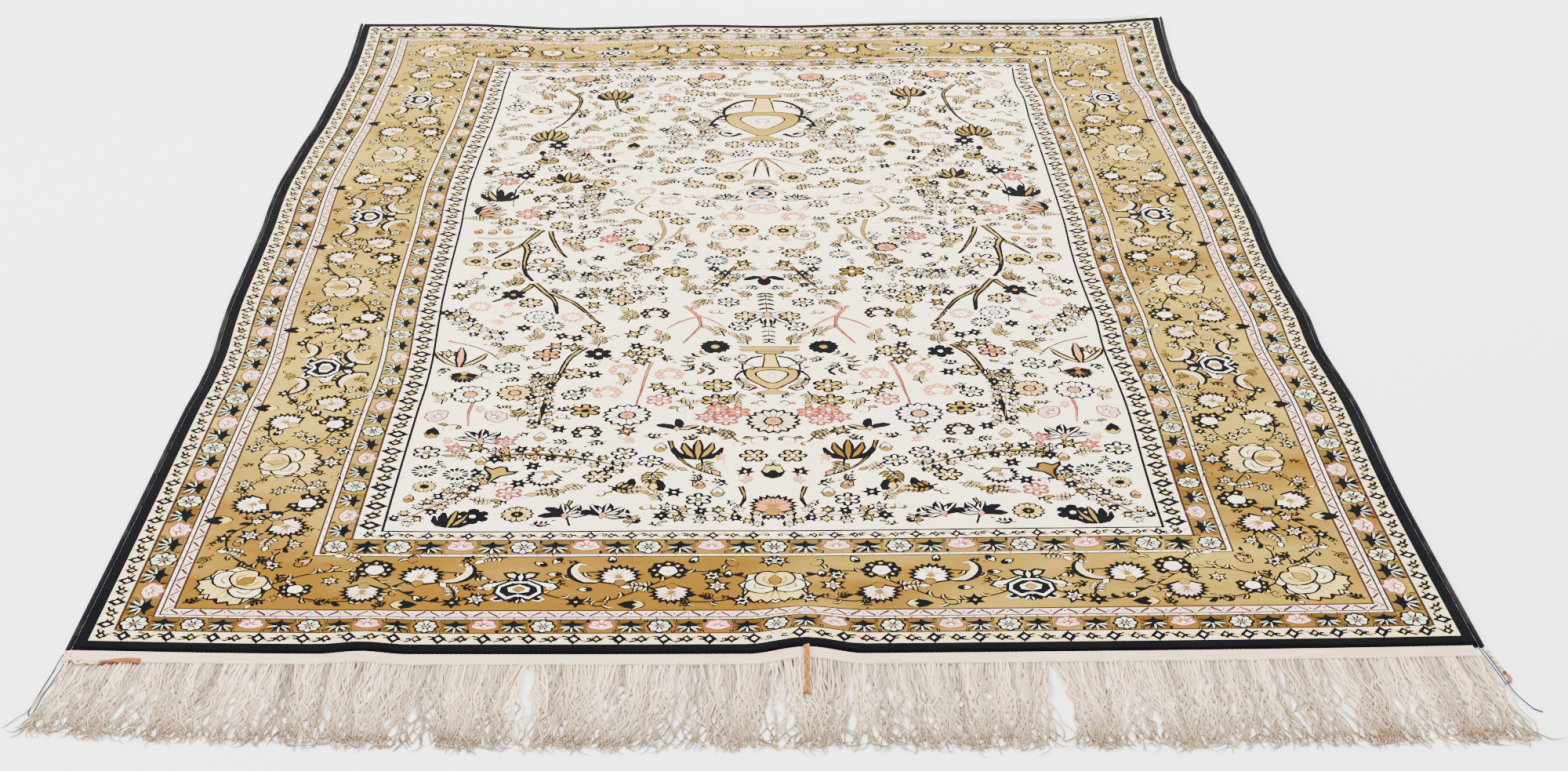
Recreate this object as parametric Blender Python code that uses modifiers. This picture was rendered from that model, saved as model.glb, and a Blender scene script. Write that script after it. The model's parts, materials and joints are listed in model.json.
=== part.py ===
"""A hand-knotted wool rug of traditional floral design, lying open on a floor.

Metres, +Z up. The origin is on the floor under the middle of the rug. +Y runs along the rug, from the end
with the open fringe to the end whose fringe is turned under, and +X runs across it to the right.
The rug lies as a used rug does: its sides wander by a few millimetres, a crease stands up in the middle of
the fringed end, and the corners of the far end lift a little.
"""
import math
from collections import namedtuple

import bmesh
import bpy
from mathutils import Matrix, Vector

# Sizes of the rug
WIDTH = 1.22              # over both selvedges, before the sides wander
LENGTH = 1.83             # of the pile
PILE = 0.005              # backing and pile together
SELVEDGE = 0.0052         # diameter of the overcast side cords
KILIM_DEPTH = 0.0155      # flat-woven band between the pile and the fringe
KILIM = 0.002             # thickness of that band
GAP = 0.0003              # left between pieces that touch

# Sizes of the fringe
STRANDS = 160
STRAND_WIDTH = 0.0038
STRAND_TIP_WIDTH = 0.0030
STRAND = 0.0022           # height of a strand lying on the floor
STRAND_ROWS = 3           # lengths that a strand is bent in
LENGTH_SPREAD = 0.004     # strands differ by this much either way
SWAY = 0.0028             # neighbouring strands lean to one side together
SWAY_PERIOD = 0.105

# Spacing of the pile's faces, away from folds and across one
PLAIN_STEP = 0.072
FOLD_STEPS = 3.4

Edge = namedtuple("Edge", "along out")
Fold = namedtuple("Fold", "x y height across back")
Opening = namedtuple("Opening", "x width reach")
Cord = namedtuple("Cord", "name diameter colour route")
Tassel = namedtuple("Tassel", "name start end strands width colour")

# How far each edge lies outside the plain rectangle, from the fringed end on for the sides and from the
# left for the ends
LEFT_SIDE = (
    Edge(-0.92, 0.002), Edge(-0.67, -0.002), Edge(-0.44, -0.005), Edge(-0.37, -0.008), Edge(-0.30, -0.008),
    Edge(-0.22, -0.003), Edge(-0.15, 0.000), Edge(-0.07, 0.001), Edge(0.08, 0.003), Edge(0.15, 0.006),
    Edge(0.23, 0.007), Edge(0.30, 0.004), Edge(0.38, 0.000), Edge(0.45, -0.005), Edge(0.60, -0.009),
    Edge(0.68, -0.011), Edge(0.75, -0.010), Edge(0.91, -0.004))
RIGHT_SIDE = (
    Edge(-0.92, 0.002), Edge(-0.67, -0.003), Edge(-0.59, -0.003), Edge(-0.44, -0.001), Edge(-0.37, -0.004),
    Edge(-0.29, -0.008), Edge(-0.21, -0.005), Edge(-0.14, -0.007), Edge(-0.06, -0.009), Edge(0.01, -0.008),
    Edge(0.09, -0.005), Edge(0.24, -0.005), Edge(0.39, -0.008), Edge(0.47, -0.011), Edge(0.55, -0.010),
    Edge(0.62, -0.017), Edge(0.70, -0.014), Edge(0.85, -0.005), Edge(0.92, 0.000))
NEAR_END = (
    Edge(-0.61, -0.002), Edge(-0.45, 0.005), Edge(-0.20, 0.009), Edge(0.03, 0.010), Edge(0.30, 0.008),
    Edge(0.50, 0.005), Edge(0.61, 0.002))
FAR_END = (
    Edge(-0.61, -0.018), Edge(-0.46, -0.011), Edge(-0.41, -0.016), Edge(-0.31, -0.032), Edge(-0.21, -0.027),
    Edge(-0.11, -0.018), Edge(0.03, -0.024), Edge(0.14, -0.016), Edge(0.24, -0.009), Edge(0.49, -0.009),
    Edge(0.61, 0.004))

# Where the rug stands off the floor. A fold is highest at its end of the rug, fades out over its reach
# across and back into the rug, and at the fringed end the strands slope from the kilim to the floor
FOLDS = (
    Fold(x=0.025, y=-0.920, height=0.0070, across=0.052, back=0.150),
    Fold(x=-0.357, y=-0.920, height=0.0030, across=0.040, back=0.095),
    Fold(x=0.615, y=0.925, height=0.0040, across=0.130, back=0.110),
    Fold(x=-0.615, y=0.905, height=0.0018, across=0.120, back=0.100))
SLOPE = 0.046

# Where the ends of the strands lie, how far they fan out sideways, and where they part
TIPS = (
    Edge(-0.61, 0.119), Edge(-0.52, 0.130), Edge(-0.30, 0.146), Edge(0.00, 0.149), Edge(0.35, 0.150),
    Edge(0.61, 0.146))
FAN = (Edge(-0.61, -0.007), Edge(-0.48, -0.002), Edge(0.00, 0.000), Edge(0.48, 0.003), Edge(0.61, 0.010))
OPENINGS = (
    Opening(-0.540, 0.005, 0.018), Opening(-0.429, 0.005, 0.018), Opening(-0.212, 0.017, 0.034),
    Opening(-0.1325, 0.004, 0.018), Opening(-0.071, 0.007, 0.022), Opening(0.003, 0.007, 0.022),
    Opening(0.234, 0.018, 0.036), Opening(0.429, 0.005, 0.018), Opening(0.466, 0.013, 0.026))

# Flat-woven band left showing past the pile at the far end: how far it reaches, from the left
FAR_KILIM_START, FAR_KILIM_END = 0.02, 0.594
FAR_KILIM = (
    Edge(0.02, 0.004), Edge(0.12, 0.012), Edge(0.30, 0.019), Edge(0.46, 0.022), Edge(0.54, 0.021),
    Edge(0.60, 0.019))
FAR_KILIM_STEPS = 16

# Loose ends at the fringed end, each as points from where it leaves the rug. Heights are above the rug's
# folds, so that they follow the crease
ON_FRINGE = STRAND + GAP
THREAD, BRAID, THICK_BRAID, TIE = 0.0016, 0.0040, 0.0060, 0.0030
ON_THREAD, ON_BRAID, ON_THICK = ON_FRINGE + THREAD / 2, ON_FRINGE + BRAID / 2, ON_FRINGE + THICK_BRAID / 2
NAVY, CREAM, ORANGE, MUSTARD = (0.035, 0.040, 0.060), (0.78, 0.70, 0.55), (0.80, 0.34, 0.14), (0.80, 0.52, 0.14)
CORDS = (
    Cord("thread_left", THREAD, NAVY, (
        (-0.6112, -0.9200, ON_THREAD), (-0.6128, -0.9310, 0.0022), (-0.6142, -0.9440, THREAD / 2),
        (-0.6160, -0.9640, THREAD / 2), (-0.6176, -0.9860, THREAD / 2), (-0.6190, -1.0060, THREAD / 2),
        (-0.6172, -1.0122, THREAD / 2), (-0.6150, -1.0060, THREAD / 2), (-0.6128, -0.9850, 0.0020),
        (-0.6096, -0.9640, ON_THREAD), (-0.6076, -0.9460, ON_THREAD), (-0.6070, -0.9360, ON_THREAD))),
    Cord("braid_left", BRAID, CREAM, (
        (-0.6076, -0.9180, ON_BRAID), (-0.6066, -0.9230, ON_BRAID), (-0.6026, -0.9300, ON_BRAID),
        (-0.5946, -0.9358, ON_BRAID), (-0.5856, -0.9366, ON_BRAID), (-0.5776, -0.9348, ON_BRAID))),
    Cord("braid_middle", THICK_BRAID, MUSTARD, (
        (0.0250, -0.9262, ON_THICK), (0.0249, -0.9350, ON_THICK), (0.0248, -0.9500, ON_THICK),
        (0.0247, -0.9650, ON_THICK), (0.0245, -0.9780, ON_THICK), (0.0245, -0.9920, ON_THICK))),
    Cord("tie_right", TIE, CREAM, (
        (0.6135, -0.9195, TIE / 2), (0.6135, -0.9262, TIE / 2), (0.6140, -0.9330, TIE / 2),
        (0.6152, -0.9415, TIE / 2), (0.6164, -0.9495, TIE / 2), (0.6174, -0.9565, TIE / 2))),
    Cord("thread_right_long", THREAD, NAVY, (
        (0.6080, -0.9225, ON_THREAD), (0.6098, -0.9330, ON_THREAD), (0.6112, -0.9440, ON_THREAD),
        (0.6126, -0.9560, ON_THREAD), (0.6140, -0.9690, ON_THREAD), (0.6152, -0.9830, ON_THREAD),
        (0.6174, -0.9960, ON_THREAD), (0.6216, -1.0070, 0.0026), (0.6270, -1.0145, THREAD / 2),
        (0.6331, -1.0195, THREAD / 2))),
    Cord("thread_right_short", THREAD, NAVY, (
        (0.6054, -0.9225, ON_THREAD), (0.6068, -0.9330, ON_THREAD), (0.6084, -0.9440, ON_THREAD),
        (0.6100, -0.9560, ON_THREAD), (0.6115, -0.9690, ON_THREAD), (0.6128, -0.9810, ON_THREAD))))
TASSELS = (
    Tassel("tassel_left", (-0.5771, -0.9347, ON_FRINGE), (-0.5430, -0.9285, ON_FRINGE), 6, 0.0085, ORANGE),
    Tassel("tassel_right", (0.61746, -0.9569, 0.0), (0.6203, -0.9750, 0.0), 4, 0.0048, ORANGE))
TASSEL_HEAD, TASSEL_THICKNESS = 0.16, 0.0024


def read(rows, at):
    """The smooth curve through a table's rows, level past its ends."""
    if at <= rows[0].along:
        return rows[0].out
    for i in range(len(rows) - 1):
        low, high = rows[i], rows[i + 1]
        if at <= high.along:
            break
    else:
        return rows[-1].out
    before, after = rows[max(i - 1, 0)], rows[min(i + 2, len(rows) - 1)]
    span = high.along - low.along
    rise_low = (high.out - before.out) / (high.along - before.along) * span
    rise_high = (after.out - low.out) / (after.along - low.along) * span
    t = (at - low.along) / span
    return ((2 * t - 3) * t * t + 1) * low.out + (t - 1) ** 2 * t * rise_low \
        + (3 - 2 * t) * t * t * high.out + (t - 1) * t * t * rise_high


def hump(distance):
    """1 in the middle, falling smoothly to 0 at a distance of 1."""
    return 0.5 + 0.5 * math.cos(math.pi * distance) if abs(distance) < 1 else 0.0


def lift(x, y):
    """Height of the rug's underside, or of a strand's, above the floor."""
    height = 0.0
    for fold in FOLDS:
        inward = max(0.0, (fold.y - y) * math.copysign(1, fold.y))
        height += fold.height * hump((x - fold.x) / fold.across) * hump(inward / fold.back)
    past_kilim = max(0.0, near_end(x) - KILIM_DEPTH - y)
    return height * max(0.0, 1 - past_kilim / SLOPE)


def side(y, sign):
    """X of the outside of a selvedge."""
    return sign * (WIDTH / 2 + read(RIGHT_SIDE if sign > 0 else LEFT_SIDE, y))


def near_end(x):
    return -LENGTH / 2 - read(NEAR_END, x)


def far_end(x):
    return LENGTH / 2 + read(FAR_END, x)


def lay(x, y, inset=SELVEDGE + GAP):
    """Where a point of the plain rectangle lies on the floor, with the sides drawn in by the inset."""
    left, right = side(y, -1) + inset, side(y, 1) - inset
    across = left + (x / WIDTH + 0.5) * (right - left)
    near, far = near_end(x), far_end(x)
    return across, near + (y / LENGTH + 0.5) * (far - near)


def steps(low, high, folds):
    """Places from low to high, closer together where a fold is near. Folds are (middle, reach) pairs."""
    places = [low]
    while places[-1] < high:
        near = [reach / FOLD_STEPS for middle, reach in folds if abs(places[-1] - middle) < reach * 1.1]
        places.append(places[-1] + min([PLAIN_STEP] + near))
    stretch = (high - low) / (places[-1] - low)
    return [low + (place - low) * stretch for place in places]


def material(name, colour, roughness):
    made = bpy.data.materials.new(name)
    made.use_nodes = True
    shader = made.node_tree.nodes["Principled BSDF"]
    shader.inputs["Base Color"].default_value = (*colour, 1.0)
    shader.inputs["Roughness"].default_value = roughness
    shader.inputs["Metallic"].default_value = 0.0
    return made


def add(name, data, collection, colour, roughness=0.9):
    """Puts a mesh or curve in the rug's collection under its own material."""
    made = bpy.data.objects.new(name, data)
    data.materials.append(material(name, colour, roughness))
    collection.objects.link(made)
    return made


def mesh_from(shape, name):
    mesh = bpy.data.meshes.new(name)
    shape.to_mesh(mesh)
    shape.free()
    return mesh


def sheet(name, columns, rows, thickness, collection, colour):
    """An open grid whose lines run through the given places, thickened downwards by a Solidify modifier."""
    shape = bmesh.new()
    bmesh.ops.create_grid(shape, x_segments=columns - 1, y_segments=rows - 1, size=1.0)
    made = add(name, mesh_from(shape, name), collection, colour)
    solidify = made.modifiers.new("thickness", "SOLIDIFY")
    solidify.thickness = thickness
    solidify.offset = -1.0
    solidify.use_even_offset = False
    return made


def grid_places(made, columns, rows):
    """Each vertex of a fresh grid with its column and row."""
    for vertex in made.data.vertices:
        yield vertex, round((vertex.co.x + 1) / 2 * (columns - 1)), round((vertex.co.y + 1) / 2 * (rows - 1))


def pile(collection, across, along):
    made = sheet("pile", len(across), len(along), PILE, collection, (0.52, 0.40, 0.20))
    for vertex, column, row in grid_places(made, len(across), len(along)):
        x, y = lay(across[column], along[row])
        vertex.co = (x, y, PILE + lift(x, y))


def far_kilim(collection):
    """The strip of flat weave that shows past the pile on the right half of the far end."""
    made = sheet("kilim_far", FAR_KILIM_STEPS, 2, KILIM, collection, CREAM)
    for vertex, column, row in grid_places(made, FAR_KILIM_STEPS, 2):
        x = FAR_KILIM_START + (FAR_KILIM_END - FAR_KILIM_START) * column / (FAR_KILIM_STEPS - 1)
        x, y = lay(x, LENGTH / 2)
        y += read(FAR_KILIM, x) if row else 0.001
        vertex.co = (x, y, KILIM + lift(x, y))


def tube(name, diameter, points, collection, colour):
    """A capped round tube through the points."""
    curve = bpy.data.curves.new(name, "CURVE")
    curve.dimensions = "3D"
    curve.twist_mode = "Z_UP"
    curve.bevel_depth = diameter / 2
    curve.bevel_resolution = 2
    curve.use_fill_caps = True
    spline = curve.splines.new("POLY")
    spline.points.add(len(points) - 1)
    for point, place in zip(spline.points, points):
        point.co = (*place, 1.0)
    return add(name, curve, collection, colour)


def selvedge(name, sign, collection, along):
    """The overcast cord along one side, just outside the pile."""
    points = []
    for y in along:
        x, y = lay(sign * WIDTH / 2, y, SELVEDGE / 2)
        points.append((x, y, SELVEDGE / 2 + lift(x, y)))
    tube(name, SELVEDGE, points, collection, NAVY)


def smooth_route(route, spacing):
    """Points about a spacing apart on a smooth curve through a route's own points."""
    route = [Vector(place) for place in route]
    length = sum((b - a).length for a, b in zip(route, route[1:]))
    count = max(8, round(length / spacing))
    travelled = [0.0]
    for a, b in zip(route, route[1:]):
        travelled.append(travelled[-1] + (b - a).length)
    tracks = [[Edge(d, place[axis]) for d, place in zip(travelled, route)] for axis in range(3)]
    ends = [travelled[-1] * i / (count - 1) for i in range(count)]
    return [Vector([read(track, end) for track in tracks]) for end in ends]


def loose_cord(cord, collection):
    points = [place + Vector((0, 0, lift(place.x, place.y)))
              for place in smooth_route(cord.route, cord.diameter * 2.8)]
    tube(cord.name, cord.diameter, points, collection, cord.colour)


def comb(name, strands, rows, place, collection, colour):
    """A backing strip with a strand drawn out of every other face of its front.

    It is first made on a plain lattice: columns along X, the strip from Y = 0 to -1, one more unit of Y
    for each row of the strands, and Z = 0 or 1 for the underside and the top. Then place moves each point.
    """
    columns = 2 * strands + 1
    shape = bmesh.new()
    bmesh.ops.create_grid(shape, x_segments=columns, y_segments=1, size=0.5)
    for vertex in shape.verts:
        vertex.co = (round((vertex.co.x + 0.5) * columns), vertex.co.y - 0.5, 0.0)
    top = bmesh.ops.extrude_face_region(shape, geom=shape.faces[:])["geom"]
    bmesh.ops.translate(shape, vec=(0, 0, 1), verts=[item for item in top if isinstance(item, bmesh.types.BMVert)])
    bmesh.ops.recalc_face_normals(shape, faces=shape.faces)
    front = [face for face in shape.faces
             if face.normal.y < -0.9 and math.floor(face.calc_center_median().x) % 2 == 1]
    for _ in range(rows):
        front = bmesh.ops.extrude_discrete_faces(shape, faces=front)["faces"]
        bmesh.ops.translate(shape, vec=(0, -1, 0), verts=[vertex for face in front for vertex in face.verts])
    for vertex in shape.verts:
        vertex.co = place(*vertex.co)
    return add(name, mesh_from(shape, name), collection, colour)


def parted(x, reach_out):
    """Sideways shift of a strand, a share of the way out along it: fan, sway and openings."""
    shift = read(FAN, x) * reach_out ** 1.3
    shift += SWAY * math.sin(math.tau * x / SWAY_PERIOD + 1.3 * math.sin(9 * x)) * reach_out
    for opening in OPENINGS:
        away = x - opening.x
        push = opening.width / 2 * math.exp(-abs(away) / opening.reach) * math.sin(2.6 * reach_out)
        shift += math.copysign(push, away)
    return shift


def fringe(collection):
    columns = 2 * STRANDS + 1
    left, right = side(-LENGTH / 2, -1) + GAP, side(-LENGTH / 2, 1) - GAP

    def place(column, depth, top):
        x = left + (right - left) * column / columns
        if depth >= -1:
            y = near_end(x) - GAP + depth * KILIM_DEPTH
            return x, y, lift(x, y) + top * KILIM
        strand = math.floor(column / 2 - 0.25)
        middle = left + (right - left) * (2 * strand + 1.5) / columns
        reach_out = (-depth - 1) / STRAND_ROWS
        uneven = LENGTH_SPREAD * math.sin(strand * 2.4) * math.cos(strand * 0.7)
        tip = near_end(middle) - read(TIPS, middle) - uneven
        root = near_end(middle) - GAP - KILIM_DEPTH
        y = root + (tip - root) * reach_out
        width = STRAND_WIDTH + (STRAND_TIP_WIDTH - STRAND_WIDTH) * reach_out
        x = middle + parted(middle, reach_out) + (column - 2 * strand - 1.5) * width
        return x, y, lift(middle, y) + top * STRAND

    comb("fringe_near", STRANDS, STRAND_ROWS, place, collection, (0.72, 0.66, 0.55))


def tassel(made, collection):
    """A short tied head with loose wool beyond it, lying flat from its start to its end."""
    start, end = Vector(made.start), Vector(made.end)
    run = end - start
    length = run.length
    turn = Matrix.Translation(start) @ Matrix.Rotation(math.atan2(run.x, -run.y), 4, "Z")
    columns = 2 * made.strands + 1

    def place(column, depth, top):
        outward = TASSEL_HEAD * -depth if depth >= -1 else TASSEL_HEAD + (1 - TASSEL_HEAD) * (-depth - 1) / 2
        strand = math.floor(column / 2 - 0.25)
        uneven = 0.10 * math.sin(2.1 * strand + 0.6) * max(0.0, outward - TASSEL_HEAD)
        spread = made.width * (0.5 + 0.5 * math.sin(math.pi * min(1.0, 0.15 + 0.75 * outward)))
        x = (column / columns - 0.5) * spread
        return turn @ Vector((x, -(outward - uneven) * length, top * TASSEL_THICKNESS))

    comb(made.name, made.strands, 2, place, collection, made.colour)


def main():
    for made in list(bpy.data.objects):
        bpy.data.objects.remove(made, do_unlink=True)
    collection = bpy.data.collections.new("persian_rug")
    bpy.context.scene.collection.children.link(collection)
    across = steps(-WIDTH / 2, WIDTH / 2, [(fold.x, fold.across) for fold in FOLDS])
    along = steps(-LENGTH / 2, LENGTH / 2, [(fold.y, fold.back) for fold in FOLDS])
    pile(collection, across, along)
    selvedge("selvedge_left", -1, collection, along)
    selvedge("selvedge_right", 1, collection, along)
    fringe(collection)
    far_kilim(collection)
    for cord in CORDS:
        loose_cord(cord, collection)
    for made in TASSELS:
        tassel(made, collection)


main()
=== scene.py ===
"""A hand-knotted wool rug of traditional floral design, lying open on a pale floor.

Metres, +Z up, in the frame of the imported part: the origin is on the floor under the middle of the rug, and
the fringed end is towards -Y. The design is drawn on a chart in millimetres and knotted from it.
"""

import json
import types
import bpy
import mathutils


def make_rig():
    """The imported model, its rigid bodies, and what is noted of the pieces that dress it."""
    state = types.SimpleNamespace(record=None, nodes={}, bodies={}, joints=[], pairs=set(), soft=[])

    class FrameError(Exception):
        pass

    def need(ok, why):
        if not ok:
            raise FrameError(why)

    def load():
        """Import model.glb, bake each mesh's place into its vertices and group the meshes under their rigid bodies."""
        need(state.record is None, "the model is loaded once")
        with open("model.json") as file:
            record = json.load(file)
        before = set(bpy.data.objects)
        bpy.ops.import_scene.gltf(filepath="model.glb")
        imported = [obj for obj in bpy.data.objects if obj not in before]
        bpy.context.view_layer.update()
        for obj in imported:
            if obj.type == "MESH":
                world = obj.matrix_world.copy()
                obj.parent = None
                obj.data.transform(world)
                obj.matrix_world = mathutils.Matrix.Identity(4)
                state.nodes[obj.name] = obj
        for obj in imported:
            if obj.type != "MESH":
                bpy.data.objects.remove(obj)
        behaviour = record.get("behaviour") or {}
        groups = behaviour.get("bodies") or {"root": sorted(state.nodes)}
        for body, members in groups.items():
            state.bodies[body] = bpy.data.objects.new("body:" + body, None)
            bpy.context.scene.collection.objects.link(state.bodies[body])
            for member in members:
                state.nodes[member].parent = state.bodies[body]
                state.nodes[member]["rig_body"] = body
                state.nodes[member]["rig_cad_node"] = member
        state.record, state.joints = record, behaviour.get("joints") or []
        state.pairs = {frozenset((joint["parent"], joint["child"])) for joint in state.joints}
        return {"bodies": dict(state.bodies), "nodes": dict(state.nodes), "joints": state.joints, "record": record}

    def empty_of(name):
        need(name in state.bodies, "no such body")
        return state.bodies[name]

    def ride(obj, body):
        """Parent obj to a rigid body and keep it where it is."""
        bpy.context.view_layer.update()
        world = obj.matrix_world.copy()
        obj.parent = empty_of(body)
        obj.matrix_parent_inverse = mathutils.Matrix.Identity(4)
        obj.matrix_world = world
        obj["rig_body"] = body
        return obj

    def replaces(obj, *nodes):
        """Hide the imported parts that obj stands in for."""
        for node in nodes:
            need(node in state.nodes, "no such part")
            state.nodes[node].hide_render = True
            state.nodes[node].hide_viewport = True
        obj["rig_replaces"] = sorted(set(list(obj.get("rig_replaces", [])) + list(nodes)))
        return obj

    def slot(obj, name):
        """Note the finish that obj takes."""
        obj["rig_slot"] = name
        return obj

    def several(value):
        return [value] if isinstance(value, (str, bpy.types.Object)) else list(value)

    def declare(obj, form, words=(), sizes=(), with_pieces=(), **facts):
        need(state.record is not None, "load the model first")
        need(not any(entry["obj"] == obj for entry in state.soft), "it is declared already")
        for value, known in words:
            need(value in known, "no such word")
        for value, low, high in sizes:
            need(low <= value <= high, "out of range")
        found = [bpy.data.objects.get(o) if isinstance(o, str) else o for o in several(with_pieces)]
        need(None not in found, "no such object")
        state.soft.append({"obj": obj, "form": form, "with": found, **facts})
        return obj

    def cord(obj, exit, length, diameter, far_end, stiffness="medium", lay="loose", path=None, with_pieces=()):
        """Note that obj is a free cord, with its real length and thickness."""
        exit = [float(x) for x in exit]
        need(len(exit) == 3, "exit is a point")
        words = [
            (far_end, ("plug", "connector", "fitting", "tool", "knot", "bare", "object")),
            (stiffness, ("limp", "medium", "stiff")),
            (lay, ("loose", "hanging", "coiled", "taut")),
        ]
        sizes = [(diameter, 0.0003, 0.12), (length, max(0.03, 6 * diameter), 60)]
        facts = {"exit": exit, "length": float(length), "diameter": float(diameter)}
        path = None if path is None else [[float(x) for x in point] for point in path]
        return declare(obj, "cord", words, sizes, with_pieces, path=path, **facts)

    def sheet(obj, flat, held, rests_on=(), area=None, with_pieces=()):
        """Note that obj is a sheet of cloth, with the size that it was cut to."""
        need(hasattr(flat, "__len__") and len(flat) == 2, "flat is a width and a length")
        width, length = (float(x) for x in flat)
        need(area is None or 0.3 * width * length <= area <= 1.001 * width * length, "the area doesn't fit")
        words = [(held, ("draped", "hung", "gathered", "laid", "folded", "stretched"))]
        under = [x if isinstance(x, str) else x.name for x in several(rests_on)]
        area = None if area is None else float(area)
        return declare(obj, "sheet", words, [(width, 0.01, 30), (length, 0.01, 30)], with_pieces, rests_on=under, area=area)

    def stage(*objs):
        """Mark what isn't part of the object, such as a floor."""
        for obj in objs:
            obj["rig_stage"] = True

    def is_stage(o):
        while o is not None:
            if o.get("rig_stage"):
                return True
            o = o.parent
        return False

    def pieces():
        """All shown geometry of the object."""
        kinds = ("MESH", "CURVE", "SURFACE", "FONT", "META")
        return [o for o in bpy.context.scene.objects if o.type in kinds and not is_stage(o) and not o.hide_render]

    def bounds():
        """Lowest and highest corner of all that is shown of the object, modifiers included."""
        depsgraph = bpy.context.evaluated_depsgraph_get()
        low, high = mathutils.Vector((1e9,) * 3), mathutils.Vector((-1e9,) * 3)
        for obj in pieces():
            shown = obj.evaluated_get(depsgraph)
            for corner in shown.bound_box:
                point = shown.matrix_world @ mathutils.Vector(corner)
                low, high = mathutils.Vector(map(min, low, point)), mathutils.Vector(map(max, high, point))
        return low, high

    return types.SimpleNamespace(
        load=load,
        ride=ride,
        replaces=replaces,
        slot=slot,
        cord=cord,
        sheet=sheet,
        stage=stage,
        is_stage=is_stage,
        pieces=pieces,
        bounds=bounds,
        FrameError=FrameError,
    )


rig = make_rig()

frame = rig.load()

import json
import math
import random
from collections import namedtuple

import bpy
from bpy.props import FloatProperty, FloatVectorProperty, IntProperty, PointerProperty
from mathutils import Matrix, Vector
from mathutils.geometry import delaunay_2d_cdt

bl_info = {
    "name": "Hand-Knotted Rug",
    "version": (1, 0, 0),
    "blender": (4, 5, 0),
    "location": "3D View > Sidebar > Rug",
    "description": "Knots a floral wool rug with its selvedges, flat-woven ends, fringe and loose threads",
    "category": "Object",
}

CAD_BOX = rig.bounds()

# Sizes of the rug, as its solids have them
WIDTH = 1.22              # over both selvedges, before the sides wander
LENGTH = 1.83             # of the pile
PILE = 0.005              # backing and pile together
SELVEDGE = 0.0052         # diameter of the overcast side cords
KILIM_DEPTH = 0.0155      # flat-woven band between the pile and the fringe
KILIM = 0.002             # thickness of that band
GAP = 0.0003              # left between pieces that touch
STRAND = 0.0022           # height of the fringe lying on the floor
SWAY = 0.0028
SWAY_PERIOD = 0.105

Edge = namedtuple("Edge", "along out")
Fold = namedtuple("Fold", "x y height across back")
Opening = namedtuple("Opening", "x width reach")
Cord = namedtuple("Cord", "name diameter colour route")
Tassel = namedtuple("Tassel", "name start end strands width colour")

# How far each edge lies outside the plain rectangle, from the fringed end on for the sides and from the
# left for the ends. The rows of the sides and of the far end are rounded from offsets that a program
# measured in the photograph
LEFT_SIDE = (
    Edge(-0.92, 0.002), Edge(-0.67, -0.002), Edge(-0.44, -0.005), Edge(-0.37, -0.008), Edge(-0.30, -0.008),
    Edge(-0.22, -0.003), Edge(-0.15, 0.000), Edge(-0.07, 0.001), Edge(0.08, 0.003), Edge(0.15, 0.006),
    Edge(0.23, 0.007), Edge(0.30, 0.004), Edge(0.38, 0.000), Edge(0.45, -0.005), Edge(0.60, -0.009),
    Edge(0.68, -0.011), Edge(0.75, -0.010), Edge(0.91, -0.004))
RIGHT_SIDE = (
    Edge(-0.92, 0.002), Edge(-0.67, -0.003), Edge(-0.59, -0.003), Edge(-0.44, -0.001), Edge(-0.37, -0.004),
    Edge(-0.29, -0.008), Edge(-0.21, -0.005), Edge(-0.14, -0.007), Edge(-0.06, -0.009), Edge(0.01, -0.008),
    Edge(0.09, -0.005), Edge(0.24, -0.005), Edge(0.39, -0.008), Edge(0.47, -0.011), Edge(0.55, -0.010),
    Edge(0.62, -0.017), Edge(0.70, -0.014), Edge(0.85, -0.005), Edge(0.92, 0.000))
NEAR_END = (
    Edge(-0.61, -0.002), Edge(-0.45, 0.005), Edge(-0.20, 0.009), Edge(0.03, 0.010), Edge(0.30, 0.008),
    Edge(0.50, 0.005), Edge(0.61, 0.002))
FAR_END = (
    Edge(-0.61, -0.018), Edge(-0.46, -0.011), Edge(-0.41, -0.016), Edge(-0.31, -0.032), Edge(-0.21, -0.027),
    Edge(-0.11, -0.018), Edge(0.03, -0.024), Edge(0.14, -0.016), Edge(0.24, -0.009), Edge(0.49, -0.009),
    Edge(0.61, 0.004))

# Where the rug stands off the floor. A fold is highest at its end of the rug, fades out over its reach
# across and back into the rug, and at the fringed end the strands slope from the kilim to the floor
FOLDS = (
    Fold(x=0.025, y=-0.920, height=0.0070, across=0.052, back=0.150),
    Fold(x=-0.357, y=-0.920, height=0.0030, across=0.040, back=0.095),
    Fold(x=0.615, y=0.925, height=0.0040, across=0.130, back=0.110),
    Fold(x=-0.615, y=0.905, height=0.0018, across=0.120, back=0.100))
SLOPE = 0.046

# Where the ends of the strands lie, how far they fan out sideways, and where they part
TIPS = (
    Edge(-0.61, 0.119), Edge(-0.52, 0.130), Edge(-0.30, 0.146), Edge(0.00, 0.149), Edge(0.35, 0.150),
    Edge(0.61, 0.146))
FAN = (Edge(-0.61, -0.007), Edge(-0.48, -0.002), Edge(0.00, 0.000), Edge(0.48, 0.003), Edge(0.61, 0.010))
OPENINGS = (
    Opening(-0.540, 0.005, 0.018), Opening(-0.429, 0.005, 0.018), Opening(-0.212, 0.017, 0.034),
    Opening(-0.1325, 0.004, 0.018), Opening(-0.071, 0.007, 0.022), Opening(0.003, 0.007, 0.022),
    Opening(0.234, 0.018, 0.036), Opening(0.429, 0.005, 0.018), Opening(0.466, 0.013, 0.026))

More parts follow.
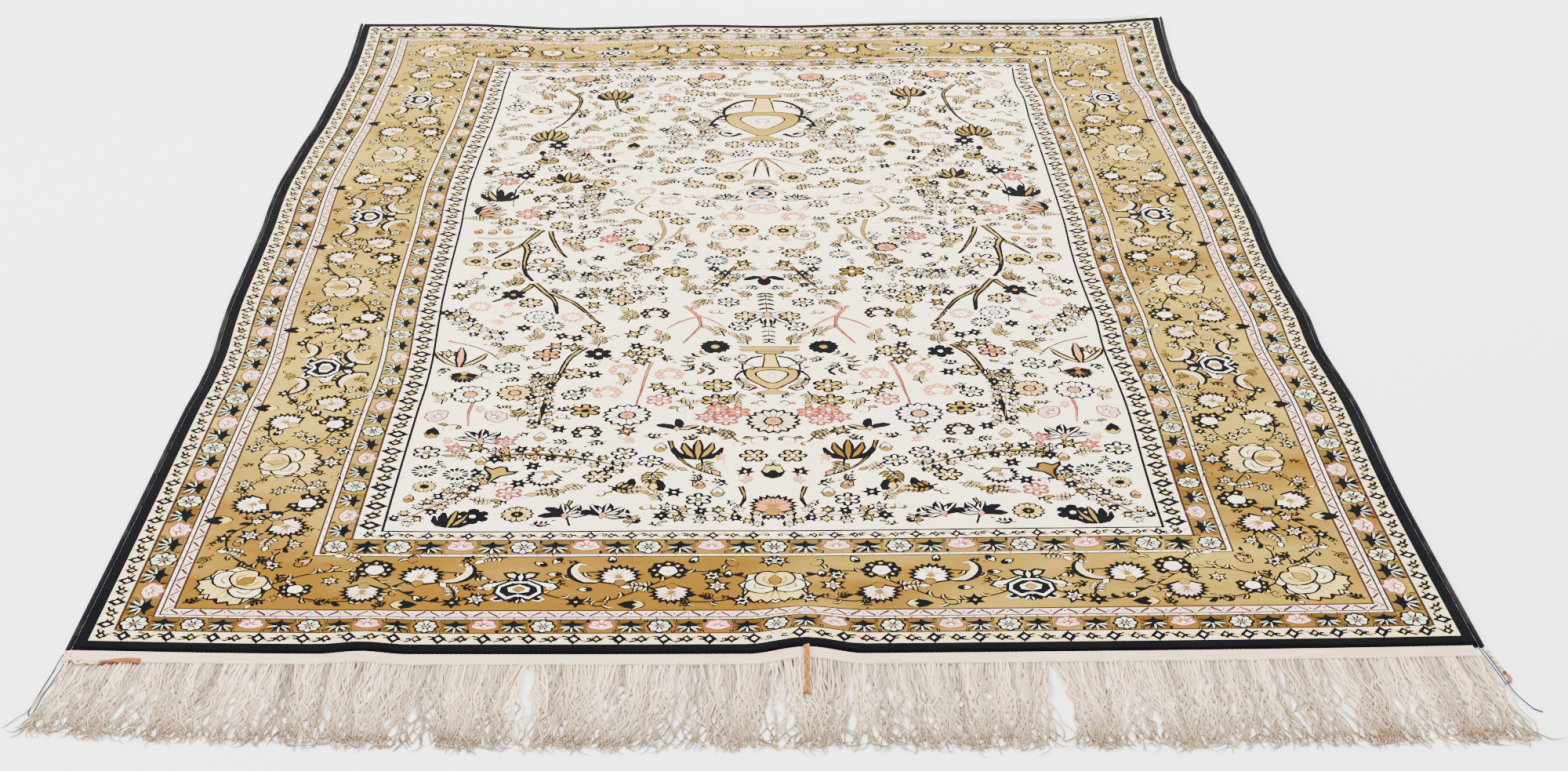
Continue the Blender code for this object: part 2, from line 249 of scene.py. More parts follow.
# Flat-woven band left showing past the pile at the far end: how far it reaches, from the left
FAR_KILIM_START, FAR_KILIM_END = 0.02, 0.594
FAR_KILIM = (
    Edge(0.02, 0.004), Edge(0.12, 0.012), Edge(0.30, 0.019), Edge(0.46, 0.022), Edge(0.54, 0.021),
    Edge(0.60, 0.019))

# Loose ends at the fringed end, each as points from where it leaves the rug. Heights are above the rug's
# folds, so that they follow the crease
ON_FRINGE = STRAND + GAP
THREAD, BRAID, THICK_BRAID, TIE = 0.0016, 0.0040, 0.0060, 0.0030
ON_THREAD, ON_BRAID, ON_THICK = ON_FRINGE + THREAD / 2, ON_FRINGE + BRAID / 2, ON_FRINGE + THICK_BRAID / 2
CORDS = (
    Cord("thread_left", THREAD, "navy_thread", (
        (-0.6112, -0.9200, ON_THREAD), (-0.6128, -0.9310, 0.0022), (-0.6142, -0.9440, THREAD / 2),
        (-0.6160, -0.9640, THREAD / 2), (-0.6176, -0.9860, THREAD / 2), (-0.6190, -1.0060, THREAD / 2),
        (-0.6172, -1.0122, THREAD / 2), (-0.6150, -1.0060, THREAD / 2), (-0.6128, -0.9850, 0.0020),
        (-0.6096, -0.9640, ON_THREAD), (-0.6076, -0.9460, ON_THREAD), (-0.6070, -0.9360, ON_THREAD))),
    Cord("braid_left", BRAID, "cream_cord", (
        (-0.6076, -0.9180, ON_BRAID), (-0.6066, -0.9230, ON_BRAID), (-0.6026, -0.9300, ON_BRAID),
        (-0.5946, -0.9358, ON_BRAID), (-0.5856, -0.9366, ON_BRAID), (-0.5776, -0.9348, ON_BRAID))),
    Cord("braid_middle", THICK_BRAID, "mustard_cord", (
        (0.0250, -0.9262, ON_THICK), (0.0249, -0.9350, ON_THICK), (0.0248, -0.9500, ON_THICK),
        (0.0247, -0.9650, ON_THICK), (0.0245, -0.9780, ON_THICK), (0.0245, -0.9920, ON_THICK))),
    Cord("tie_right", TIE, "cream_cord", (
        (0.6135, -0.9195, TIE / 2), (0.6135, -0.9262, TIE / 2), (0.6140, -0.9330, TIE / 2),
        (0.6152, -0.9415, TIE / 2), (0.6164, -0.9495, TIE / 2), (0.6174, -0.9565, TIE / 2))),
    Cord("thread_right_long", THREAD, "navy_thread", (
        (0.6080, -0.9225, ON_THREAD), (0.6098, -0.9330, ON_THREAD), (0.6112, -0.9440, ON_THREAD),
        (0.6126, -0.9560, ON_THREAD), (0.6140, -0.9690, ON_THREAD), (0.6152, -0.9830, ON_THREAD),
        (0.6174, -0.9960, ON_THREAD), (0.6216, -1.0070, 0.0026), (0.6270, -1.0145, THREAD / 2),
        (0.6331, -1.0195, THREAD / 2))),
    Cord("thread_right_short", THREAD, "navy_thread", (
        (0.6054, -0.9225, ON_THREAD), (0.6068, -0.9330, ON_THREAD), (0.6084, -0.9440, ON_THREAD),
        (0.6100, -0.9560, ON_THREAD), (0.6115, -0.9690, ON_THREAD), (0.6128, -0.9810, ON_THREAD))))
TASSELS = (
    Tassel("tassel_left", (-0.5771, -0.9347, ON_FRINGE), (-0.5430, -0.9285, ON_FRINGE), 6, 0.0085,
           "orange_wool"),
    Tassel("tassel_right", (0.61746, -0.9569, 0.0), (0.6203, -0.9750, 0.0), 4, 0.0048, "orange_wool"))
TASSEL_HEAD, TASSEL_THICKNESS = 0.16, 0.0024

def read(rows, at):
    """The smooth curve through a table's rows, level past its ends."""
    if at <= rows[0].along:
        return rows[0].out
    for i in range(len(rows) - 1):
        low, high = rows[i], rows[i + 1]
        if at <= high.along:
            break
    else:
        return rows[-1].out
    before, after = rows[max(i - 1, 0)], rows[min(i + 2, len(rows) - 1)]
    span = high.along - low.along
    rise_low = (high.out - before.out) / (high.along - before.along) * span
    rise_high = (after.out - low.out) / (after.along - low.along) * span
    t = (at - low.along) / span
    return ((2 * t - 3) * t * t + 1) * low.out + (t - 1) ** 2 * t * rise_low \
        + (3 - 2 * t) * t * t * high.out + (t - 1) * t * t * rise_high


def hump(distance):
    """1 in the middle, falling smoothly to 0 at a distance of 1."""
    return 0.5 + 0.5 * math.cos(math.pi * distance) if abs(distance) < 1 else 0.0


def lift(x, y):
    """Height of the rug's underside, or of a strand's, above the floor."""
    height = 0.0
    for fold in FOLDS:
        inward = max(0.0, (fold.y - y) * math.copysign(1, fold.y))
        height += fold.height * hump((x - fold.x) / fold.across) * hump(inward / fold.back)
    past_kilim = max(0.0, near_end(x) - KILIM_DEPTH - y)
    return height * max(0.0, 1 - past_kilim / SLOPE)


def side(y, sign):
    """X of the outside of a selvedge."""
    return sign * (WIDTH / 2 + read(RIGHT_SIDE if sign > 0 else LEFT_SIDE, y))


def near_end(x):
    return -LENGTH / 2 - read(NEAR_END, x)


def far_end(x):
    return LENGTH / 2 + read(FAR_END, x)


def lay(x, y, inset=SELVEDGE + GAP):
    """Where a point of the plain rectangle lies on the floor, with the sides drawn in by the inset."""
    left, right = side(y, -1) + inset, side(y, 1) - inset
    across = left + (x / WIDTH + 0.5) * (right - left)
    near, far = near_end(x), far_end(x)
    return across, near + (y / LENGTH + 0.5) * (far - near)


def smooth_route(route, spacing):
    """Points about a spacing apart on a smooth curve through a route's own points."""
    route = [Vector(place) for place in route]
    length = sum((b - a).length for a, b in zip(route, route[1:]))
    count = max(8, round(length / spacing))
    travelled = [0.0]
    for a, b in zip(route, route[1:]):
        travelled.append(travelled[-1] + (b - a).length)
    tracks = [[Edge(d, place[axis]) for d, place in zip(travelled, route)] for axis in range(3)]
    ends = [travelled[-1] * i / (count - 1) for i in range(count)]
    return [Vector([read(track, end) for track in tracks]) for end in ends]


def parted(x, reach_out):
    """Sideways shift of a strand, a share of the way out along it: fan, sway and openings."""
    shift = read(FAN, x) * reach_out ** 1.3
    shift += SWAY * math.sin(math.tau * x / SWAY_PERIOD + 1.3 * math.sin(9 * x)) * reach_out
    for opening in OPENINGS:
        away = x - opening.x
        push = opening.width / 2 * math.exp(-abs(away) / opening.reach) * math.sin(2.6 * reach_out)
        shift += math.copysign(push, away)
    return shift


# Which tassel hangs on which cord
CARRIES = {"braid_left": "tassel_left", "tie_right": "tassel_right"}

# The photograph's camera: metres, degrees, and a focal length in pixels of its width
PHOTO_WIDTH = 2000
SENSOR = 36.0
FOCAL_PIXELS = 3215.5
CAMERA_PLACE = Vector((-0.0252, -2.7841, 1.1320))
CAMERA_YAW, CAMERA_PITCH, CAMERA_ROLL = 0.935, 25.189, 0.186

# Soft lamps: watts, size and place, each turned towards the rug
LIGHTS = (
    ("lamp_left", 285.0, 2.4, (-2.6, -0.6, 2.8)), ("lamp_right", 190.0, 2.6, (2.6, 0.8, 2.8)),
    ("lamp_far", 150.0, 2.4, (0.0, 3.0, 2.4)))
ROOM_LIGHT = 2.3
FLOOR_GREY = (0.94, 0.94, 0.94)
FLOOR_SIZE = 16

# The chart is in millimetres from the far left corner: x to the right and y towards the fringed end. A
# motif's turn is in degrees, clockwise from pointing at the far end
HALF_WIDTH, RUG_LENGTH = 610.0, 1830.0
LINE = 3.1                # width of an outline


def put(points, x, y, size=1.0, turn=0.0):
    """Local (right, forward) points moved to the chart."""
    c, s = math.cos(math.radians(turn)) * size, math.sin(math.radians(turn)) * size
    return [(x + a * c + b * s, y + a * s - b * c) for a, b in points]


def polar(radius, count, start=0.0, sweep=360.0):
    """Points round the origin, clockwise from forward, at a radius given by a function of the angle."""
    full = sweep >= 360
    steps = count if full else count - 1
    angles = [math.radians(start + sweep * i / steps) for i in range(count)]
    return [(radius(a) * math.sin(a), radius(a) * math.cos(a)) for a in angles]


def smooth(points, step=6.0):
    """A smooth curve through the points, with one about every step."""
    out = []
    ends = [points[0], *points, points[-1]]
    for i in range(1, len(ends) - 2):
        (ax, ay), (bx, by), (cx, cy), (dx, dy) = ends[i - 1:i + 3]
        count = max(1, round(math.dist((bx, by), (cx, cy)) / step))
        for k in range(count):
            t = k / count
            w = (-t + 2 * t * t - t ** 3, 2 - 5 * t * t + 3 * t ** 3, t + 4 * t * t - 3 * t ** 3,
                 t ** 3 - t * t)
            out.append(tuple(0.5 * (w[0] * p + w[1] * q + w[2] * r + w[3] * s)
                             for p, q, r, s in ((ax, bx, cx, dx), (ay, by, cy, dy))))
    return out + [points[-1]]


def normals(points, closed):
    """Unit normals, to the left of the way along the points."""
    out = []
    last = len(points) - 1
    for i in range(len(points)):
        a = points[i - 1] if closed or i else points[i]
        b = points[(i + 1) % len(points)] if closed or i < last else points[i]
        dx, dy = b[0] - a[0], b[1] - a[1]
        length = math.hypot(dx, dy) or 1.0
        out.append((-dy / length, dx / length))
    return out


def grown(points, by):
    """A closed outline moved outwards, each side by the same distance."""
    pairs = list(zip(points, points[1:] + points[:1]))
    if sum(a[0] * b[1] - b[0] * a[1] for a, b in pairs) > 0:
        by = -by
    sides = []
    for (ax, ay), (cx, cy) in pairs:
        length = math.hypot(cx - ax, cy - ay) or 1.0
        sides.append(((ay - cy) / length, (cx - ax) / length))
    out = []
    for (x, y), before, after in zip(points, sides[-1:] + sides[:-1], sides):
        across, along = before[0] + after[0], before[1] + after[1]
        stretch = 2 / max(0.7, across * across + along * along)
        out.append((x + across * stretch * by, y + along * stretch * by))
    return out


def slimness(points):
    """Twice a shape's area over the length of its outline: about its width where it is long."""
    pairs = list(zip(points, points[1:] + points[:1]))
    area = abs(sum(a[0] * b[1] - b[0] * a[1] for a, b in pairs)) / 2
    return 2 * area / sum(math.dist(a, b) for a, b in pairs)


class Chart:
    """The rug's design, as flat shapes, where a later one lies over those before it."""

    def __init__(self):
        self.shapes = []
        self.taken = []

    def fill(self, points, ink):
        self.shapes.append((points, ink))

    def patch(self, points, ink, edge="navy", line=LINE):
        """A shape and its outline, which is never wide enough to fill the shape."""
        line = min(line, 0.62 * slimness(points))
        self.fill(grown(points, line / 2), edge)
        self.fill(grown(points, -line / 2), ink)

    def blade(self, path, width, ink, edge=None, shape="leaf", line=LINE):
        """A leaf, tapering stem or even band along a path."""
        last = len(path) - 1
        widths = {"leaf": lambda t: math.sin(math.pi * (0.06 + 0.94 * t)) ** 0.8,
                  "taper": lambda t: 1 - 0.8 * t,
                  "even": lambda t: 1.0}[shape]
        half = [width / 2 * max(0.08, widths(i / last)) for i in range(last + 1)]
        if edge:
            line = min(line, 0.5 * width)
            self.band(path, [h + line / 2 for h in half], edge)
            half = [max(0.15, h - line / 2) for h in half]
        self.band(path, half, ink)

    def band(self, path, half, ink):
        """A strip of the given half widths along a path."""
        sides = list(zip(path, normals(path, False), half))
        points = [(p[0] + n[0] * h, p[1] + n[1] * h) for p, n, h in sides]
        points += [(p[0] - n[0] * h, p[1] - n[1] * h) for p, n, h in reversed(sides)]
        self.fill(points, ink)

    def vine(self, points, ink="navy", width=1.1, shape="even", step=6.0):
        self.blade(smooth(points, step), width, ink, shape=shape)

    def claim(self, x, y, radius):
        self.taken.append((x, y, radius))

    def is_free(self, x, y, radius):
        return all(math.hypot(x - a, y - b) > radius + r for a, b, r in self.taken)


def leaf(chart, x, y, size, turn=0, ink="gold", edge="navy", bend=0.25, fat=0.38):
    """An almond leaf from its stalk at x, y."""
    steps = (0, 0.3, 0.65, 1.0) if size < 14 else (0, 0.25, 0.5, 0.75, 1.0)
    path = [(bend * math.sin(math.pi * t) * size, t * size) for t in steps]
    if size < 4.5:
        chart.blade(put(path, x, y, 1, turn), size * fat * 1.2, edge)
    else:
        chart.blade(put(path, x, y, 1, turn), size * fat, ink, edge)


def blossom(chart, x, y, size, turn=0, petals=6, ink="ivory", heart="gold", edge="navy"):
    """A star-like flower with notched petals."""
    fine = 4 if size > 11 else 2
    dip = (0.58, 0.98, 1.06, 0.98) if fine == 4 else (0.54, 1.08)
    ring = polar(lambda a: 1.0, petals * fine, -180 / petals)
    chart.patch(put([(p[0] * dip[i % fine], p[1] * dip[i % fine]) for i, p in enumerate(ring)], x, y, size,
                    turn),
                ink, edge, LINE if size > 9 else 2.5)
    if size > 9:
        for k in range(petals):
            a = math.radians(360 * (k + 0.5) / petals)
            spoke = [(0.3 * math.sin(a - 0.16), 0.3 * math.cos(a - 0.16)),
                     (0.66 * math.sin(a), 0.66 * math.cos(a)),
                     (0.3 * math.sin(a + 0.16), 0.3 * math.cos(a + 0.16))]
            chart.fill(put(spoke, x, y, size, turn), edge)
    if size > 7:
        chart.patch(put(polar(lambda a: 1, 6), x, y, size * 0.30, turn), heart, edge, 1.3)
    else:
        chart.fill(put(polar(lambda a: 1, 5), x, y, size * 0.30, turn), heart)
    chart.claim(x, y, size)


def daisy(chart, x, y, size, turn=0, petals=13, ink="white", heart="coral", edge="navy"):
    """A flower of many narrow petals."""
    rim = polar(lambda a: 1.0, petals * 2)
    chart.fill(put([(p[0] * (1.0, 0.86)[i % 2], p[1] * (1.0, 0.86)[i % 2]) for i, p in enumerate(rim)], x,
                   y, size, turn),
               edge)
    wide = 1.85 / petals
    petal = [(-wide * 0.4, 0.36), (-wide, 0.68), (0, 0.86), (wide, 0.68), (wide * 0.4, 0.36)]
    for k in range(petals):
        chart.fill(put(petal, x, y, size, turn + 360 * k / petals), ink)
    chart.patch(put(polar(lambda a: 1, 8), x, y, size * 0.30, turn), heart, edge, 1.0)
    if size > 14:
        chart.fill(put(polar(lambda a: 1, 5), x, y, size * 0.12, turn), "gold")
    chart.claim(x, y, size)


def rosette(chart, x, y, size, turn=0, ink="mint"):
    """The pale eight-petalled rosette of the gold borders."""
    chart.patch(put(polar(lambda a: 0.84 + 0.16 * abs(math.cos(4 * a)), 24, 7.5), x, y, size, turn), ink,
                "navy", 2.2)
    for k in range(8):
        chart.fill(put([(-0.11, 0.2), (0, 0.94), (0.11, 0.2)], x, y, size, turn + 22.5 + 45 * k), "navy")
    chart.fill(put(polar(lambda a: 1, 6), x, y, size * 0.20, turn), "rose")
    chart.claim(x, y, size)


def spiky(chart, x, y, size, turn=0):
    """The dark spiky flower of the gold borders, with pale veins."""
    star = polar(lambda a: 1.0, 19, -126, 252)
    star = [(p[0] * r, p[1] * r) for p, r in zip(star, [0.62, 1.05, 0.50, 1.0, 0.55, 1.08, 0.5, 1.0, 0.6,
                                                        1.1] + [0.6, 1.0, 0.5, 1.08, 0.55, 1.0, 0.50, 1.05,
                                                                0.62])]
    chart.fill(put(star + [(0.2, -0.45), (0, -0.8), (-0.2, -0.45)], x, y, size, turn), "navy")
    for a in (-78, -44, 0, 44, 78):
        chart.blade(put([(0, 0.18), (0, 0.55), (0, 0.86)], x, y, size, turn + a), size * 0.15, "mint")
    chart.claim(x, y, size)


def fan(chart, x, y, size, turn=0, ink="blush"):
    """The pink fan flower of the gold borders."""
    arc = polar(lambda a: 0.84 + 0.16 * abs(math.cos(4.2 * a)), 29, -105, 210)
    chart.patch(put(arc + [(0.25, -0.5), (-0.25, -0.5)], x, y, size, turn), ink, "rose", 2.0)
    for a in (-80, -48, -16, 16, 48, 80):
        chart.blade(put([(0, 0.2), (0, 0.84)], x, y, size, turn + a), 2.0, "rose", shape="taper")
    chart.patch(put(polar(lambda a: 1, 7), x, y, size * 0.24, turn), "white", "rose", 0.9)
    chart.claim(x, y, size)


def carnation(chart, x, y, size, turn=0, ink="ivory", edge="navy", veins="olive"):
    """A serrated fan of a flower on a small calyx."""
    teeth = polar(lambda a: 1.0, 23, -112, 224)
    teeth = [(p[0] * r, p[1] * r) for p, r in zip(teeth, [(1.02, 0.76)[i % 2] for i in range(23)])]
    chart.patch(put(teeth + [(0.42, -0.62), (0, -0.80), (-0.42, -0.62)], x, y, size, turn), ink, edge)
    for a in (-78, -40, 0, 40, 78):
        chart.blade(put([(0, -0.25), (0, 0.30), (0, 0.78)], x, y, size, turn + a * 0.85), 2.2, veins,
                    shape="taper")
    chart.patch(put([(-0.34, -0.72), (-0.16, -0.34), (0.16, -0.34), (0.34, -0.72), (0, -1.0)], x, y, size,
                    turn), "gold", edge, 1.0)
    chart.claim(x, y, size)


def cluster(chart, x, y, size, turn=0, ink="navy", heart="ivory", dots="straw"):
    """Dark round florets about a pale middle."""
    for k, a in enumerate((-128, -86, -44, 0, 44, 86, 128)):
        spot = put([(0, 0.66)], x, y, size, turn + a)[0]
        chart.fill(put(polar(lambda b: 0.88 + 0.12 * math.cos(5 * b), 10), *spot, size * 0.38, 17 * k), ink)
        chart.fill(put(polar(lambda b: 1, 4), *spot, size * 0.11), dots)
    chart.patch(put(polar(lambda b: 0.8 + 0.2 * abs(math.cos(2.5 * b)), 15), x, y, size * 0.50, turn + 180),
                heart, ink, 1.2)
    for a in (-50, 0, 50):
        chart.blade(put([(0, 0), (0, 0.34)], x, y, size, turn + 180 + a), 1.0, "straw", shape="taper")
    chart.claim(x, y, size)


def bud(chart, x, y, size, turn=0, ink="coral", cup="gold", edge="navy"):
    """A closed flower in its cup, with a stalk."""
    drop = [(0, 1.0), (0.30, 0.62), (0.40, 0.25), (0.25, -0.05), (-0.25, -0.05), (-0.40, 0.25),
            (-0.30, 0.62)]
    chart.patch(put(drop, x, y, size, turn), ink, edge, 1.7)
    chart.patch(put([(0, 0.34), (0.20, 0.05), (0.52, 0.30), (0.30, -0.25), (0, -0.42), (-0.30, -0.25),
                     (-0.52, 0.30), (-0.20, 0.05)],
                    x, y, size, turn), cup, edge, 1.4)
    chart.claim(x, y, size * 0.6)


def sprig(chart, x, y, size, turn=0, ink="navy", leaves="gold", pairs=3, bend=0.2):
    """A thin stalk with pairs of small leaves."""
    stalk = [(bend * math.sin(math.pi * t), t) for t in (0, 0.33, 0.66, 1)]
    chart.blade(put(stalk, x, y, size, turn), 1.8, ink, shape="taper")
    for k in range(pairs):
        t = 0.30 + 0.6 * k / pairs
        at = put([(bend * math.sin(math.pi * t), t)], x, y, size, turn)[0]
        for side in (-1, 1):
            leaf(chart, *at, size * (0.34 - 0.05 * k), turn + side * 52, leaves, ink, 0.1 * side, 0.42)
    leaf(chart, *put([(0, 0.92)], x, y, size, turn)[0], size * 0.3, turn, leaves, ink, 0, 0.42)
    chart.claim(*put([(0, 0.5)], x, y, size, turn)[0], size * 0.5)


def twig(chart, x, y, size, turn=0, ink="navy", pairs=4, bend=0.25, heart=None, inner=None):
    """A bending stalk with small leaves, and a bud at its end where a heart colour is given."""
    stalk = [(bend * math.sin(math.pi * t * 0.8), t) for t in (0, 0.35, 0.7, 1)]
    chart.blade(put(stalk, x, y, size, turn), 2.7, ink, shape="taper")
    blade = [(0, 0), (0.32, 0.36), (0.20, 0.78), (0, 1.1), (-0.26, 0.55)]
    for k in range(pairs):
        t = 0.22 + 0.68 * k / pairs
        at = put([(bend * math.sin(math.pi * t * 0.8), t)], x, y, size, turn)[0]
        for side in (-1, 1):
            chart.fill(put([(a * side, b) for a, b in blade], *at, size * (0.42 - 0.04 * k),
                           turn + side * (58 - 4 * k)), ink)
            if inner:
                chart.fill(put([(0, 0.18), (0.17 * side, 0.5), (0, 0.9), (-0.12 * side, 0.5)], *at,
                               size * (0.42 - 0.04 * k), turn + side * (58 - 4 * k)), inner)
    at = put([(bend * math.sin(math.pi * 0.8), 1.0)], x, y, size, turn)[0]
    if heart:
        chart.patch(put([(0, 0.30), (0.13, 0.1), (0.07, -0.1), (-0.07, -0.1), (-0.13, 0.1)], *at,
                        size * 1.1, turn), heart, ink, 1.3)
    else:
        chart.fill(put(blade, *at, size * 0.3, turn), ink)
    chart.claim(*put([(0, 0.5)], x, y, size, turn)[0], size * 0.46)


def curl(chart, x, y, size, turn=0, ink="navy", inner="gold"):
    """A curled tendril with a leaf on its back."""
    path = smooth(put([(0, -1), (0.5, -0.6), (0.62, 0.1), (0.1, 0.55), (-0.35, 0.2), (-0.1, -0.12)], x, y,
                      size, turn), 5.0)
    chart.blade(path, 2.6, ink, shape="taper")
    leaf(chart, *put([(0.60, -0.1)], x, y, size, turn)[0], size * 0.85, turn + 50, inner, ink, 0.2, 0.45)
    leaf(chart, *put([(0.1, -0.9)], x, y, size, turn)[0], size * 0.7, turn - 40, inner, ink, -0.2, 0.45)
    chart.claim(x, y, size * 0.95)


def spray(chart, path, inks, size=7.5, apart=9.0, stem="coral"):
    """A bending stalk with small flowers along both its sides."""
    way = smooth(path, 15.0)
    chart.vine(path, "navy", 3.4, "taper")
    chart.vine(path, stem, 1.6, "taper")
    for k, (spot, normal) in enumerate(zip(way, normals(way, False))):
        for side in (-1, 1):
            ink, heart = inks[(k + (side > 0) * 2) % len(inks)]
            x, y = spot[0] + normal[0] * apart * side, spot[1] + normal[1] * apart * side
            chart.blade([spot, (x, y)], 1.7, "navy")
            chart.fill(put([(0, 0), (0.2, 0.5), (0, 1), (-0.2, 0.5)], *spot, size * 1.6,
                           math.degrees(math.atan2(normal[1] * side, normal[0] * side)) + 60), "navy")
            blossom(chart, x, y, size * (1.0 - 0.35 * k / len(way)), 20 * k, 6, ink, heart)


def lily(chart, x, y, size, turn=0, ink="white", tip="navy", heart="coral", petals=5):
    """Pointed petals with dark outer halves, fanned out from the stalk."""
    for k in range(petals):
        a = turn + (k - (petals - 1) / 2) * 200 / petals
        path = [(0, 0.05), (0.10, 0.4), (0.06, 0.75), (0, 1.0)]
        chart.blade(put(path, x, y, size, a), size * 0.34, ink, "navy")
        chart.blade(put([(0.02, 0.35), (0.05, 0.65), (0, 0.95)], x, y, size, a + 5), size * 0.15, tip)
    chart.patch(put([(0, 0.3), (0.16, 0.05), (0, -0.25), (-0.16, 0.05)], x, y, size, turn), heart, "navy",
                1.0)
    chart.claim(*put([(0, 0.45)], x, y, size, turn)[0], size * 0.7)


def feather(chart, x, y, size, turn=0, blades=5, spread=118, inks=("gold", "navy")):
    """A spray of gold blades between two dark ones."""
    order = sorted(range(blades), key=lambda k: -abs(k - (blades - 1) / 2))
    for k in order:
        off = k - (blades - 1) / 2
        a = turn + off * spread / blades
        long = 1.0 - 0.09 * abs(off)
        path = [(0, 0), (0.06 * off, 0.35 * long), (0.05 * off, 0.7 * long), (-0.03 * off, long)]
        outer = abs(off) > (blades - 1) / 2 - 0.6
        chart.blade(put(path, x, y, size, a), size * (0.15 if outer else 0.21), inks[outer], "navy")
    chart.claim(*put([(0, 0.5)], x, y, size, turn)[0], size * 0.48)


def laurel(chart, path, size=9.0, ink="navy", inner="olive"):
    """Pairs of dark leaves along a bending stalk."""
    way = smooth(path, size * 0.9)
    chart.vine(path, "navy", 1.4)
    for k, (spot, normal) in enumerate(zip(way, normals(way, False))):
        heading = math.degrees(math.atan2(normal[1], normal[0]))
        for side in (-1, 1):
            leaf(chart, *spot, size * (1 - 0.3 * k / len(way)), heading + 58 * side,
                 inner if k % 2 else ink, ink, 0.05, 0.34)
    for spot in way[::2]:
        chart.claim(*spot, size * 0.8)


def trefoil(chart, x, y, size, turn=0, ink="gold"):
    """A three-lobed gold cup with a long point."""
    cup = [(0, 1.5), (0.14, 0.75), (0.30, 0.42), (0.78, 0.0), (0.86, -0.30), (0.42, -0.12), (0.16, -0.52),
           (-0.16, -0.52),
           (-0.42, -0.12), (-0.86, -0.30), (-0.78, 0.0), (-0.30, 0.42), (-0.14, 0.75)]
    chart.patch(put(cup, x, y, size, turn), ink)
    chart.claim(x, y, size)


def diamond(chart, x, y, size, turn=0, heart="ivory"):
    """A dark diamond with a small pale one in it."""
    chart.fill(put([(0, 1.15), (0.85, 0), (0, -1.15), (-0.85, 0)], x, y, size, turn), "navy")
    chart.fill(put([(0, 0.42), (0.32, 0), (0, -0.42), (-0.32, 0)], x, y, size, turn), heart)


def palmette(chart, x, y, size, turn=0):
    """The vase-shaped palmette of the main border: white scrolls about a dark six-sided heart."""
    for side in (-1, 1):
        wing = [(0.10 * side, -0.95), (0.42 * side, -0.62), (0.80 * side, -0.42), (1.30 * side, -0.30),
                (1.52 * side, 0.02),
                (1.24 * side, 0.18), (1.02 * side, 0.00), (0.66 * side, -0.12), (0.30 * side, -0.36)]
        chart.patch(put(wing, x, y, size, turn), "white", "navy", 2.4)
        chart.patch(put(polar(lambda a: 1, 7), *put([(1.18 * side, 0.02)], x, y, size, turn)[0],
                        size * 0.13), "coral", "white", 1.2)
        foot = [(0.12 * side, -0.60), (0.50 * side, -0.80), (0.62 * side, -1.08), (0.30 * side, -1.16),
                (0.05 * side, -0.92)]
        chart.patch(put(foot, x, y, size, turn), "blush")
        horn = [(0.40 * side, 0.66), (0.72 * side, 0.62), (0.98 * side, 0.86), (0.80 * side, 1.02),
                (0.52 * side, 0.92)]
        chart.patch(put(horn, x, y, size, turn), "navy", "white", 1.4)
    chart.patch(put([(-0.46, 0.95), (-0.92, 0.40), (-0.84, -0.14), (-0.36, -0.52), (0.36, -0.52),
                     (0.84, -0.14),
                     (0.92, 0.40), (0.46, 0.95), (0, 0.72)], x, y, size, turn), "white")
    chart.fill(put([(-0.42, 0.70), (-0.74, 0.32), (-0.66, -0.06), (-0.28, -0.36), (0.28, -0.36),
                    (0.66, -0.06),
                    (0.74, 0.32), (0.42, 0.70), (0, 0.52)], x, y, size, turn), "navy")
    chart.patch(put([(0, 0.42), (-0.40, 0.34), (-0.46, 0.02), (0, -0.24), (0.46, 0.02), (0.40, 0.34)], x, y,
                    size, turn), "white", "navy", 0.9)
    chart.patch(put(polar(lambda a: 0.8 + 0.2 * abs(math.cos(2 * a)), 16),
                    *put([(0, 0.12)], x, y, size, turn)[0], size * 0.22), "gold", "navy", 1.0)
    for a in (-38, 0, 38):
        leaf(chart, *put([(0, 0.70)], x, y, size, turn)[0], size * 0.50, turn + a,
             "white" if a else "blush", "navy", 0, 0.46)
    leaf(chart, *put([(0, -0.50)], x, y, size, turn)[0], size * 0.62, turn + 180, "white", "navy", 0, 0.5)
    chart.claim(x, y, size * 1.25)


